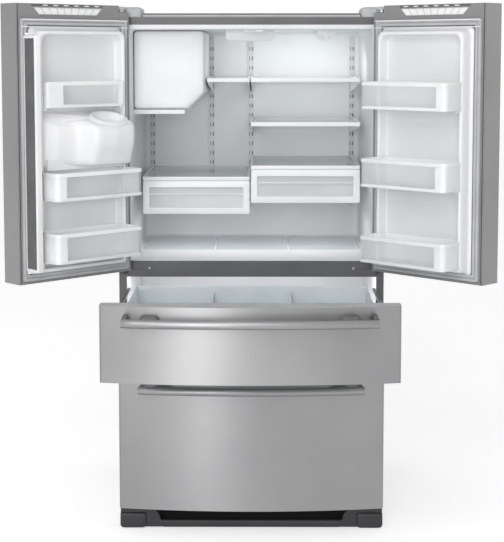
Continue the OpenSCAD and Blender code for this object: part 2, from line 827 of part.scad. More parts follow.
module condenser() color([0.15, 0.15, 0.15]) {
    fins = 14;
    fin_step = 8;
    z0 = base_h + flange_t;
    for (i = [0 : fins - 1])
        box(fan_x + 45 + i * fin_step, fan_x + 46.5 + i * fin_step, fan_y - 80, fan_y + 80,
            z0, z0 + 160);
    for (y = [-60 : 40 : 60], z = [30 : 50 : 130])
        for (i = [0 : fins - 2])
            translate([fan_x + 46.5 + i * fin_step, fan_y + y, z0 + z]) rotate([0, 90, 0])
                cylinder(r = 4, h = fin_step - 1.5, $fn = 16);
    difference() {
        box(fan_x + 18, fan_x + 22, fan_y - 90, fan_y + 90, z0, z0 + 190);
        translate([fan_x + 17, fan_y, fan_z]) rotate([0, 90, 0]) cylinder(r = fan_r + 6, h = 8);
    }
    translate([fan_x - 50, fan_y, fan_z]) rotate([0, 90, 0]) cylinder(r = 26, h = 36);
    translate([fan_x - 14 - eps, fan_y, fan_z]) rotate([0, 90, 0]) cylinder(r = axle_r, h = 24);
    box(fan_x - 40, fan_x - 24, fan_y - 8, fan_y + 8, z0, fan_z - 20);
}

module fan_blade() color("gray") translate([fan_x - 13, fan_y, fan_z]) rotate([0, 90, 0])
    difference() {
        union() {
            cylinder(r = 20, h = 30);
            for (a = [0 : 72 : 359])
                rotate(a) translate([14, 0, 15]) rotate([32, 0, 0])
                    translate([0, -22, -1.25]) cube([fan_r - 16, 40, 2.5]);
        }
        translate([0, 0, -1]) cylinder(r = axle_r + run_gap, h = 26);
    }

module water_valve() color("steelblue") {
    z0 = base_h + flange_t;
    box(valve_x - 24, valve_x + 24, cabinet_d - 70, cabinet_d - 20, valve_z - 22, valve_z + 22);
    translate([valve_x, cabinet_d - 20 - eps, valve_z]) rotate([-90, 0, 0])
        cylinder(r = 9, h = 6);
    translate([valve_x, cabinet_d - 14 - eps, valve_z]) rotate([-90, 0, 0])
        cylinder(r = 5.5, h = 12);
    for (x = [-12, 12])
        translate([valve_x + x, cabinet_d - 45, valve_z + 22 - eps]) cylinder(r = 9, h = 26);
    box(valve_x - 20, valve_x + 20, cabinet_d - 60, cabinet_d - 56, z0, valve_z);
}

// Doors: parts drawn closed for the left door, and mirrored for the right one

module hinge_notch()
    box(door_x0 - 5, door_x0 + notch_w, edge_y - bow_rise, in_y + 1, notch_z, door_z1 + 1);

module niche_void(grow)
    box(niche_x[0] - grow, niche_x[1] + grow, -150, niche_y1 + grow,
        niche_z[0] - grow, niche_z[1] + grow);

// Slanting way of the ice, from the top of the chute to the niche
module chute_way(r)
    translate([chute_x, chute_y, chute_z1 + 10]) rotate([120, 0, 22])
        cylinder(r = r, h = 112);

// Hole at the back of the niche where the ice comes through
module ice_port()
    box(chute_x + 10, chute_x + 60, niche_y1 - 1, niche_y1 + niche_t + 1,
        niche_z[1] - 38, niche_z[1] - 6);

module door_skin()
    difference() {
        along_z(door_z0, door_z1) difference() {
            bowed(door_x0, door_x1, 0, skin_back);
            bowed(door_x0, door_x1, sheet_t, skin_back + 1);
        }
        hinge_notch();
    }

module door_frame()
    difference() {
        union() {
            along_z(door_z1 - cap_h, door_z1) bowed(door_x0, door_x1, sheet_t + hair, in_y);
            along_z(door_z0, door_z0 + foot_cap_h) bowed(door_x0, door_x1, sheet_t + hair, in_y);
            difference() {
                box(door_x0, door_x1, skin_back, in_y, door_z0, door_z1);
                box(rim_x0, rim_x1, skin_back - 1, in_y + 1, rim_z0, rim_z1);
            }
        }
        hinge_notch();
        along_y(in_y - 6, in_y + 1) pocket_outline(0);
        translate([-hinge_x, -hinge_fwd, notch_z - 24])
            cylinder(r = hinge_pin_r + run_gap, h = 30);
        translate([-hinge_x, -hinge_fwd, door_z0 - 1])
            cylinder(r = hinge_pin_r + run_gap, h = 22);
    }

// Trapezium of the ribbed light panel in the top band
module pocket_outline(i) {
    z1 = door_z1 - 12;
    z0 = door_z1 - 34;
    x0 = door_x0 + 110;
    x1 = door_x0 + 384;
    polygon([[x0 + i, z1 - i], [x1 - i, z1 - i], [x1 - 22 - i, z0 + i], [x0 + 22 + i, z0 + i]]);
}

module pocket_panel() {
    along_y(in_y - 6, in_y - 3.5) pocket_outline(0.1);
    intersection() {
        along_y(in_y - 3.5 - eps, in_y - 0.5) pocket_outline(0.6);
        for (x = [door_x0 + 116 : 11 : door_x0 + 380])
            box(x, x + 4, in_y - 6, in_y, door_z1 - 60, door_z1);
    }
}

module door_liner() {
    door_plate();
    door_rim();
    pocket_panel();
}

// Back of the liner, with its corners filled out to the door's frame
module door_plate() {
    along_y(skin_back, pocket_y) rounded(rim_x0, rim_x1, rim_z0, rim_z1, 10);
    for (x = [rim_x0, rim_x1 - 10], z = [rim_z0, rim_z1 - 10])
        box(x, x + 10, skin_back, in_y, z, z + 10);
}

// Raised rim: a bar along each edge
module door_rim() {
    for (z = [rim_z0, rim_z1 - rim_w])
        along_y(pocket_y + hair, rim_y) intersection() {
            rounded(rim_x0, rim_x1, rim_z0, rim_z1, 10);
            translate([rim_x0, z]) square([rim_x1 - rim_x0, rim_w]);
        }
    for (x = [rim_x0, rim_x1 - rim_w])
        box(x, x + rim_w, pocket_y + hair, rim_y, rim_z0 + rim_w + hair, rim_z1 - rim_w - hair);
}

module door_foam(z0, z1, x0, x1)
    along_z(z0, z1) intersection() {
        bowed(door_x0, door_x1, sheet_t + hair, skin_back - hair);
        translate([x0, bow_c - bow_r]) square([x1 - x0, bow_r - bow_c]);
    }

// Small ledges on the rim that a bin stands on
module bin_ledges(z)
    for (x = [rim_x0 + rim_w + hair, rim_x1 - rim_w - 12 - hair])
        box(x, x + 12, pocket_y + hair, rim_y, z - 8.2, z - 0.2);

// Ring seal with a groove round its face
module grooved_gasket(x0, x1, z0, z1, w, y0, y1)
    difference() {
        along_y(y0, y1) difference() {
            rounded(x0, x1, z0, z1, 6);
            rounded(x0 + w, x1 - w, z0 + w, z1 - w, 4);
        }
        along_y(y1 - 5, y1 + 1) difference() {
            rounded(x0 + w * 0.4, x1 - w * 0.4, z0 + w * 0.4, z1 - w * 0.4, 5);
            rounded(x0 + w * 0.6, x1 - w * 0.6, z0 + w * 0.6, z1 - w * 0.6, 4.5);
        }
    }

module door_handle() {
    y = bow_y(door_bar_x) - bar_off;
    translate([door_bar_x, y, door_bar_z0]) cylinder(r = bar_r, h = door_bar_l);
    for (z = [door_bar_z0 + 30, door_bar_z0 + door_bar_l - 30])
        difference() {
            translate([door_bar_x, bow_y(door_bar_x) + 10, z]) rotate([90, 0, 0])
                cylinder(r = 9, h = bar_off + 8);
            along_z(z - 20, z + 20) translate([0, bow_c]) circle(bow_r, $fn = 1440);
        }
}

// Bin between heights z[0] and z[1], reaching y1: tub with rims, curved free end, clear window
module door_bin(z, y1) {
    tongue_x0 = rim_x0 + rim_w + bin_tongue;
    tongue_x1 = rim_x1 - rim_w - bin_tongue;
    y0 = pocket_y + 2;
    step_y = rim_y + 1;
    win_x1 = bin_x1 - window_end;
    corner = 24;
    difference() {
        union() {
            along_z(z[0], z[1]) bin_plan(tongue_x0, tongue_x1, y0, step_y, y1 - 3, corner, 0);
            along_z(z[1] - bin_rim_h, z[1])
                bin_plan(tongue_x0, tongue_x1, y0, step_y, y1, corner, -1.5);
            along_z(z[0], z[0] + bin_foot_h)
                bin_plan(tongue_x0, tongue_x1, y0, step_y, y1, corner, -1.5);
        }
        along_z(z[0] + bin_wall, z[1] + 1)
            bin_plan(tongue_x0, tongue_x1, y0, step_y, y1 - 3, corner, bin_wall);
        box(bin_x0 + 8, win_x1, y1 - 12, y1 + 1, z[0] + bin_foot_h, z[1] - bin_rim_h);
    }
    box(bin_x0 + 8, win_x1, y1 - 5.5, y1 - 3, z[0] + bin_foot_h, z[1] - bin_rim_h);
}

// Plan of a bin, drawn in by i, with a narrow back that sits inside the rim
module bin_plan(tx0, tx1, y0, step_y, y1, corner, i) {
    translate([tx0 + max(i, 0), y0 + max(i, 0)])
        square([tx1 - tx0 - 2 * max(i, 0), step_y + 12 - y0]);
    difference() {
        rounded(bin_x0 + i, bin_x1 - i, step_y - 30, y1 - i, corner - 8);
        translate([bin_x0 - 5, step_y - 60]) square([bin_x1 - bin_x0 + 10, 60 + max(i, 0)]);
    }
}

module shallow_bin(z) {
    y1 = in_y + 60;
    x0 = rim_x0 + rim_w + bin_tongue;
    x1 = rim_x1 - rim_w - bin_tongue;
    y0 = pocket_y + 2;
    difference() {
        along_z(z[0], z[1]) rounded(x0, x1, y0, y1, 10);
        along_z(z[0] + bin_wall, z[1] + 1)
            rounded(x0 + bin_wall, x1 - bin_wall, y0 + bin_wall, y1 - bin_wall, 8);
        box(x0 + 14, x1 - window_end, y1 - 6, y1 + 1, z[0] + bin_foot_h, z[1] - bin_rim_h);
    }
    box(x0 + 14, x1 - window_end, y1 - bin_wall, y1 - 0.5,
        z[0] + bin_foot_h, z[1] - bin_rim_h);
}

module left_door_skin() color("silver") left_open()
    difference() {
        door_skin();
        niche_void(niche_t);
    }

module left_door_frame() color("gray") left_open() door_frame();

module left_door_liner() color("white") left_open() {
    difference() {
        door_plate();
        chute_way(chute_r);
    }
    door_rim();
    pocket_panel();
    for (z = [left_upper[0], left_middle[0], left_lower[0]])
        bin_ledges(z);
    left_door_foam();
    flap_ears();
}

// Foam of the left door, in panels round the dispenser
module left_door_foam() {
    x0 = niche_x[0] - niche_t - hair;
    x1 = niche_x[1] + niche_t + hair;
    z0 = niche_z[0] - niche_t - hair;
    z1 = niche_z[1] + niche_t + hair;
    door_foam(door_z0 + foot_cap_h, z0, door_x0, door_x1);
    door_foam(z0 + hair, z1 - hair, door_x0, x0);
    door_foam(z0 + hair, z1 - hair, x1, door_x1);
    difference() {
        union() {
            door_foam(z1, door_z1 - cap_h, door_x0, door_x1);
            box(x0 + hair, x1 - hair, niche_y1 + niche_t + hair, skin_back - hair,
                z0 + hair, z1 - hair);
        }
        chute_way(chute_r);
    }
}

module left_door_gasket() color("darkgray") left_open()
    grooved_gasket(seal_x0, seal_x1, seal_z0, seal_z1, seal_w, in_y, -seal_gap);

module left_door_handle() color("silver") left_open() door_handle();

module right_door_skin() color("silver") right_open() door_skin();

module right_door_frame() color("gray") right_open() door_frame();

module right_door_liner() color("white") right_open() {
    door_liner();
    for (z = [right_upper[0], right_middle[0]])
        bin_ledges(z);
    door_foam(door_z0 + foot_cap_h, door_z1 - cap_h, door_x0, door_x1);
}

module right_door_gasket() color("darkgray") right_open()
    grooved_gasket(seal_x0, seal_x1, seal_z0, seal_z1, seal_w, in_y, -seal_gap);

module right_door_handle() color("silver") right_open() door_handle();

module left_bin_upper() color("white") left_open() shallow_bin(left_upper);

module left_bin_middle() color("white") left_open() door_bin(left_middle, bin_y1);

module left_bin_lower() color("white") left_open() door_bin(left_lower, bin_y1);

module right_bin_upper() color("white") right_open() door_bin(right_upper, bin_y1);

module right_bin_middle() color("white") right_open() door_bin(right_middle, bin_y1);

module right_bin_lower() color("white") right_open() door_bin(right_lower, bin_y1);

// Flap that closes the gap between the doors

module flap_ears()
    for (z = [flap_z0 - flap_ear_t - 2, flap_z1 + 2])
        difference() {
            union() {
                box(rim_x1 + hair, flap_x, 4, 20, z, z + flap_ear_t);
                translate([flap_x, flap_y, z]) cylinder(r = 8, h = flap_ear_t);
            }
            translate([flap_x, flap_y, z - 1])
                cylinder(r = flap_pin_r + run_gap, h = flap_ear_t + 2);
        }

module mullion() color("white") left_open() {
    x0 = flap_x - flap_w / 2;
    x1 = flap_x + flap_w / 2;
    difference() {
        along_z(flap_z0, flap_z1) {
            translate([flap_x, flap_y]) circle(flap_w / 2);
            translate([x0, flap_y]) square([flap_w, flap_l / 2]);
            rounded(x0, x1, flap_y + 5, 1 + flap_l, 4);
        }
        box(x1 - 1.5, x1 + 1, flap_y + 1, flap_l - 6, flap_z0 + 9, flap_z1 - 9);
    }
    translate([flap_x, flap_y, flap_z0 - flap_ear_t - 1])
        cylinder(r = flap_pin_r, h = flap_z1 - flap_z0 + 2 * flap_ear_t + 2);
}

// Ice chute on the inside of the left door, dispenser on its outside

module ice_chute() color("white") left_open()
    difference() {
        union() {
            along_z(chute_z0 + 7, chute_z1)
                rounded(rim_x0 + rim_w + 1, chute_x + 46, pocket_y, in_y + bin_reach, 24);
            along_y(pocket_y, in_y + 65)
                rounded(chute_x, rim_x1 - rim_w - 1, chute_z0, chute_z1 - 8, 24);
            translate([chute_x, chute_y, chute_z1 - eps]) cylinder(r = 36, h = 4);
        }
        translate([chute_x, chute_y, chute_z1 - 20]) cylinder(r = 29, h = 30);
        chute_way(chute_r);
    }

module dispenser_niche() color([0.16, 0.16, 0.17]) left_open() {
    bezel = 12;
    x0 = niche_x[0] - bezel;
    x1 = niche_x[1] + bezel;
    along_z(niche_z[0] - bezel, niche_z[0] - hair) bow_band(x0, x1, 3, -hair);
    along_z(niche_z[1] + hair, panel_z1) bow_band(x0, x1, 3, -hair);
    along_z(niche_z[0], niche_z[1]) {
        bow_band(x0, niche_x[0], 3, -hair);
        bow_band(niche_x[1], x1, 3, -hair);
    }
    niche_plates();
    drip_tray();
    translate([paddle_x - 36, paddle_y, paddle_z]) rotate([0, 90, 0]) cylinder(r = 3, h = 72);
    for (x = [paddle_x - 40, paddle_x + 36])
        box(x, x + 4, paddle_y - 6, niche_y1, paddle_z - 6, paddle_z + 6);
}

// Side, floor, ceiling and back plates of the dispenser's recess
module niche_plates() {
    z0 = niche_z[0];
    z1 = niche_z[1];
    for (x = [niche_x[0] - niche_t, niche_x[1]])
        niche_plate(x, x + niche_t, niche_y1 + niche_t, z0 - niche_t, z1 + niche_t);
    for (z = [z0 - niche_t, z1])
        niche_plate(niche_x[0] + hair, niche_x[1] - hair, niche_y1 + niche_t, z, z + niche_t);
    difference() {
        box(niche_x[0] + hair, niche_x[1] - hair, niche_y1, niche_y1 + niche_t,
            z0 + hair, z1 - hair);
        ice_port();
    }
}

// Plate from the bowed face back to y1
module niche_plate(x0, x1, y1, z0, z1)
    along_z(z0, z1) intersection() {
        translate([x0, -150]) square([x1 - x0, y1 + 150]);
        translate([0, bow_c]) circle(bow_r, $fn = 1440);
    }

// Slatted tray in the foot of the dispenser
module drip_tray()
    difference() {
        box(niche_x[0] + 8, niche_x[1] - 8, -76, niche_y1 - 4,
            niche_z[0] + hair, niche_z[0] + 10);
        for (x = [niche_x[0] + 20 : 18 : niche_x[1] - 24])
            box(x, x + 8, -70, niche_y1 - 12, niche_z[0] + 4, niche_z[0] + 11);
    }

paddle_x = (niche_x[0] + niche_x[1]) / 2;
paddle_y = -44;
paddle_z = 1330;

module dispenser_paddle() color([0.25, 0.25, 0.26]) left_open()
    difference() {
        union() {
            box(paddle_x - 28, paddle_x + 28, paddle_y - 3, paddle_y + 3, paddle_z - 96, paddle_z);
            translate([paddle_x - 34, paddle_y, paddle_z]) rotate([0, 90, 0])
                cylinder(r = 7, h = 68);
        }
        translate([paddle_x - 35, paddle_y, paddle_z]) rotate([0, 90, 0])
            cylinder(r = 3 + run_gap, h = 70);
    }

// Drawers: fronts, seals, handles

// Steel front folded over its top and bottom, foam core, and inner panel
module drawer_front(z0, z1) {
    core = sheet_t + hair;
    difference() {
        along_z(z0, z1) bowed(-front_x, front_x, 0, skin_back);
        along_z(z0 + sheet_t, z1 - sheet_t) bowed(-front_x, front_x, sheet_t, skin_back + 1);
    }
    along_z(z0 + core, z1 - core) bowed(-front_x, front_x, core, skin_back - hair);
    box(-front_x, front_x, skin_back + hair, in_y, z0, z1);
}

module bowed_handle(z) {
    half_a = asin(bar_half / (bow_r + bar_off));
    translate([0, bow_c, z]) rotate([0, 0, -90 - half_a])
        rotate_extrude(angle = 2 * half_a, $fn = 1440)
            translate([bow_r + bar_off, 0]) circle(bar_r, $fn = 32);
    both_sides() difference() {
        union() {
            handle_post(bar_half - 8, z, 6, 7);
            handle_post(bar_half - 82, z, 28, 20);
        }
        along_z(z - 30, z + 30) translate([0, bow_c]) circle(bow_r, $fn = 1440);
    }
}

// Post under the bar at x: wide at the front, narrow at the bar
module handle_post(x, z, foot, head)
    along_z(z - bar_post_z / 4, z + bar_post_z / 4)
        polygon([[x - foot, bow_y(x) + 10], [x - head, bow_y(x) - bar_off],
            [x + head, bow_y(x) - bar_off], [x + foot, bow_y(x) + 10]]);

module pantry_front() color("silver") pantry_pulled() drawer_front(pantry_z0, pantry_z1);

module freezer_front() color("silver") drawer_front(freezer_z0, freezer_z1);

drawer_seal_x = frame_x + 14;
drawer_seal_w = 14;

module pantry_gasket() color("darkgray") pantry_pulled()
    grooved_gasket(-drawer_seal_x, drawer_seal_x, pantry_z0 + 2, pantry_z1 - 4,
        drawer_seal_w, in_y, -seal_gap);

module freezer_gasket() color("darkgray")
    grooved_gasket(-drawer_seal_x, drawer_seal_x, freezer_z0 + 6, freezer_z1 - 1,
        drawer_seal_w, in_y, -seal_gap);

module pantry_handle() color("silver") pantry_pulled() bowed_handle(pantry_bar_z);

module freezer_handle() color("silver") bowed_handle(freezer_bar_z);

// Telescopic slides: outer channel on the liner, middle channel, inner channel on the carriage

module slide_channel(x_out, x_in, h, z, y0, y1)
    both_sides() difference() {
        box(x_in, x_out, y0, y1, z - h / 2, z + h / 2);
        box(x_in - 1, x_out - slide_t, y0 - 1, y1 + 1,
            z - h / 2 + slide_t, z + h / 2 - slide_t);
    }

mid_x = frame_x - slide_t - slide_gap;
mid_h = slide_h - 2 * slide_t - 2 * slide_gap;
inner_h = mid_h - 2 * slide_t - 2 * slide_gap;
inner_x = mid_x - slide_t - slide_gap;
slide_in = frame_x - slide_w;
mouth_x = frame_x - slide_w + 2.5;

module cabinet_rails() color("lightgray") {
    slide_channel(frame_x, mouth_x, slide_h, pantry_slide_z, slide_y0,
        slide_y0 + pantry_slide_l);
    slide_channel(frame_x, mouth_x, slide_h, freezer_slide_z, slide_y0,
        slide_y0 + freezer_slide_l);
}

module pantry_mid_rails() color("gainsboro") translate([0, -pantry_open / 2, 0])
    slide_channel(mid_x, mouth_x, mid_h, pantry_slide_z, slide_y0,
        slide_y0 + pantry_slide_l);

module freezer_mid_rails() color("gainsboro")
    slide_channel(mid_x, mouth_x, mid_h, freezer_slide_z, slide_y0,
        slide_y0 + freezer_slide_l);

// Inner slide channel, side plate that holds the front, and the rear tie of a drawer
module carriage(z, l, tie_z) {
    both_sides() {
        difference() {
            box(slide_in, inner_x, slide_y0, slide_y0 + l, z - inner_h / 2, z + inner_h / 2);
            box(slide_in + slide_t, inner_x + 1, slide_y0 - 1, slide_y0 + l + 1,
                z - inner_h / 2 + slide_t, z + inner_h / 2 - slide_t);
        }
        box(slide_in - carriage_t, slide_in, in_y, slide_y0 + l, z - 30, z + 22);
        box(slide_in - ledge_w, slide_in, in_y, in_y + carriage_t, z - 30, z + 40);
        box(slide_in - ledge_w, slide_in, in_y, slide_y0 + l, z - 30, z - 30 + carriage_t);
    }
    box(-slide_in, slide_in, slide_y0 + l - carriage_t, slide_y0 + l, tie_z, z - 30 + carriage_t);
}

module pantry_carriage() color("lightgray") pantry_pulled()
    carriage(pantry_slide_z, pantry_slide_l, pantry_slide_z - 38);

module freezer_carriage() color("lightgray")
    carriage(freezer_slide_z, freezer_slide_l, freezer_slide_z - 30);

tub_x = slide_in - carriage_t - 0.3;
tub_body_x = slide_in - ledge_w - 1;

// Drawer tub: rests by its rim on the carriage ledges
module tub(y1, z0, z1, ledge_z) {
    x = tub_body_x;
    difference() {
        union() {
            box(-x, x, in_y + carriage_t + 1, y1, z0, z1);
            box(-tub_x, tub_x, in_y + carriage_t + 1, y1 - 30, ledge_z + 0.3, ledge_z + 3.3);
        }
        box(-x + bin_wall, x - bin_wall, in_y + carriage_t + 1 + bin_wall, y1 - bin_wall,
            z0 + bin_wall, z1 + 1);
    }
}

module pantry_bin() color("white") pantry_pulled() {
    z0 = pantry_open_z0 + 6;
    z1 = pantry_z1 - 42;
    y1 = pantry_slide_l - 20;
    tub(y1, z0, z1, pantry_slide_z - 30 + carriage_t);
    for (x = [-130, 130])
        box(x - 2, x + 2, in_y + carriage_t + 1 + bin_wall, y1 - bin_wall,
            z0 + bin_wall, z1 - 20);
}

module freezer_bin() color("white") {
    y1 = machine_y - machine_skin - 22;
    low_z1 = freezer_slide_z + 60;
    tub(y1, freezer_open_z0 + 10, low_z1, freezer_slide_z - 30 + carriage_t);
    basket(tub_body_x, freezer_slide_l - 10, low_z1 + 20, freezer_open_z1 - 30, low_z1 + hair);
}

// Upper freezer basket, on four legs that stand on the lower tub's rim
module basket(x, y1, z0, z1, leg_z) {
    y0 = in_y + carriage_t + 1;
    difference() {
        box(-x, x, y0, y1, z0, z1);
        box(-x + bin_wall, x - bin_wall, y0 + bin_wall, y1 - bin_wall, z0 + bin_wall, z1 + 1);
    }
    for (px = [-x, x - bin_wall], py = [y0 + 30, y1 - 180])
        box(px, px + bin_wall, py, py + 30, leg_z, z0);
}

cabinet_shell();
insulation();
front_frame();
fridge_liner();
pantry_liner();
freezer_liner();
shelf_ladders();
shelf_frames();
shelf_glass();
ice_housing();
control_housing();
upper_hinges();
hinge_covers();
lower_hinges();
toe_grille();
levelling_feet();
rear_panels();
compressor();
condenser();
water_valve();
cabinet_rails();
base_frame();
fan_blade();
rear_rollers();
filter_cap();
ice_bin();
deli_drawer_left();
deli_drawer_right();
left_door_skin();
left_door_liner();
left_door_frame();
left_door_gasket();
left_door_handle();
dispenser_niche();
dispenser_paddle();
ice_chute();
mullion();
left_bin_upper();
left_bin_middle();
left_bin_lower();
right_door_skin();
right_door_liner();
right_door_frame();
right_door_gasket();
right_door_handle();
right_bin_upper();
right_bin_middle();
right_bin_lower();
pantry_front();
pantry_gasket();
pantry_handle();
pantry_bin();
pantry_carriage();
pantry_mid_rails();
freezer_front();
freezer_gasket();
freezer_handle();
freezer_bin();
freezer_carriage();
freezer_mid_rails();
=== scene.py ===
# French-door bottom freezer refrigerator: the looks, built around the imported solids.
# Pieces are drawn in millimetres, in the frame of the solids, with every door and drawer shut.
# PLACES then carries them to where they are at rest, and MM turns them to metres.
import json
import math

import bmesh
import bpy
from mathutils import Matrix, Vector

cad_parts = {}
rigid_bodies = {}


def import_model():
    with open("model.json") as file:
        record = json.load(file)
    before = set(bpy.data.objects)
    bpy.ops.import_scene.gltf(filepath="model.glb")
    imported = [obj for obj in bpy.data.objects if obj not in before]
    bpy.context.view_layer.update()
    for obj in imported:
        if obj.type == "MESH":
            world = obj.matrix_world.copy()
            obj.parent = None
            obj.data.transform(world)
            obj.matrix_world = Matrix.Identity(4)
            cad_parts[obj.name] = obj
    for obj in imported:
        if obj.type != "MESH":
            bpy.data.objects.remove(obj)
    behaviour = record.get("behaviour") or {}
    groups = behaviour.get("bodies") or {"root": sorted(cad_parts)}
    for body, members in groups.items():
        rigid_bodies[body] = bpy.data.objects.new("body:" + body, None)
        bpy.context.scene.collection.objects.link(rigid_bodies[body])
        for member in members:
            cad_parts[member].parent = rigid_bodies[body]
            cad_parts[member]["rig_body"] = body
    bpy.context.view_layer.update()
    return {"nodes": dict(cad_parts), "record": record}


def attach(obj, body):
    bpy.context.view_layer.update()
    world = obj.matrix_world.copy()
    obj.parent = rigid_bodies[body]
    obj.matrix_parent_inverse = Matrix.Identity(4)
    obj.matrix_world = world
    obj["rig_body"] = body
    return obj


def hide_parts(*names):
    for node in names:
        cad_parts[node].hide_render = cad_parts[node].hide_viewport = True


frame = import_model()

MM = 0.001
METRE = 1000.0  # in millimetres
HINGE = Vector((-436.0, -35.0, 0.0))  # pin of the left door
DOOR_OPEN = math.radians(136)
PANTRY_OUT = 567  # how far the refrigerated drawer is drawn out at rest
BOW_RADIUS = 2713.2  # the steel fronts are bowed about an upright line
BOW_CENTRE = 2609.2  # at this depth


def bow_y(x):
    """Depth of the bowed steel face at x."""
    return BOW_CENTRE - math.sqrt(BOW_RADIUS * BOW_RADIUS - x * x)


def link(name, data):
    """Puts a camera, a mesh or a lamp into the scene."""
    made = bpy.data.objects.new(name, data)
    bpy.context.scene.collection.objects.link(made)
    return made


# Camera: a long lens at eye height, pitched down a little, and the rest taken by a small shift

CAMERA_PLACE = (0.0274, -4.8352, 1.6316)
CAMERA_PITCH = math.radians(5.51)
CAMERA_TURN = math.radians(0.301)
LENS_LENGTH = 94.9
LENS_SHIFT = -0.15

camera = link("camera", bpy.data.cameras.new("camera"))
camera.location = CAMERA_PLACE
camera.rotation_euler = (math.pi / 2 - CAMERA_PITCH, 0, CAMERA_TURN)
camera.data.lens = LENS_LENGTH
camera.data.shift_y = LENS_SHIFT
camera.data.dof.use_dof = False
bpy.context.scene.camera = camera


# Colours and materials

SPOT_EDGES = (0.35, 0.65)  # where in the noise the darker and the lighter tone are reached
SPOT_DETAIL = 3.0
GRAIN_DETAIL = 2.0


def hex_colour(code):
    """Linear colour of an sRGB hex value."""
    parts = [int(code[i:i + 2], 16) / 255 for i in (1, 3, 5)]
    return tuple(c / 12.92 if c <= 0.04045 else ((c + 0.055) / 1.055) ** 2.4
                 for c in parts) + (1.0,)


def add(tree, kind, inputs=(), **settings):
    """Adds a node, with its settings, and with its inputs set or linked."""
    made = tree.nodes.new("ShaderNode" + kind)
    for name, value in settings.items():
        setattr(made, name, value)
    for socket, value in dict(inputs).items():
        if isinstance(value, bpy.types.NodeSocket):
            tree.links.new(value, made.inputs[socket])
        else:
            made.inputs[socket].default_value = value
    return made


def finish(name, dark, light, spot_mm, rough, bump_mm, grain_mm=(1.0, 1.0, 1.0), metal=0.0,
           rough_swing=0.06, extra=()):
    """A finish whose colour drifts from dark to light over spots of spot_mm, and whose
    roughness swings about rough with a grain of grain_mm (x, y, z) standing bump_mm high."""
    material = bpy.data.materials.new(name)
    material.use_nodes = True
    tree = material.node_tree
    shader = tree.nodes["Principled BSDF"]
    place = add(tree, "TexCoord").outputs["Object"]
    drift = add(tree, "TexNoise", {"Vector": place, "Scale": METRE / spot_mm,
                                   "Detail": SPOT_DETAIL})
    ramp = add(tree, "ValToRGB", {"Fac": drift.outputs["Fac"]})
    for i, tone in enumerate((dark, light)):
        ramp.color_ramp.elements[i].position = SPOT_EDGES[i]
        ramp.color_ramp.elements[i].color = hex_colour(tone)
    along = add(tree, "Mapping", {"Vector": place, "Scale": [1 / g for g in grain_mm]})
    grain = add(tree, "TexNoise", {"Vector": along.outputs["Vector"], "Scale": METRE,
                                   "Detail": GRAIN_DETAIL})
    swing = add(tree, "MapRange", {"Value": grain.outputs["Fac"],
                                   "To Min": rough - rough_swing, "To Max": rough + rough_swing})
    relief = add(tree, "Bump", {"Height": grain.outputs["Fac"], "Distance": bump_mm * MM,
                                "Strength": 1.0})
    tree.links.new(ramp.outputs["Color"], shader.inputs["Base Color"])
    tree.links.new(swing.outputs["Result"], shader.inputs["Roughness"])
    tree.links.new(relief.outputs["Normal"], shader.inputs["Normal"])
    shader.inputs["Metallic"].default_value = metal
    for socket, value in dict(extra).items():
        shader.inputs[socket].default_value = value
    return material


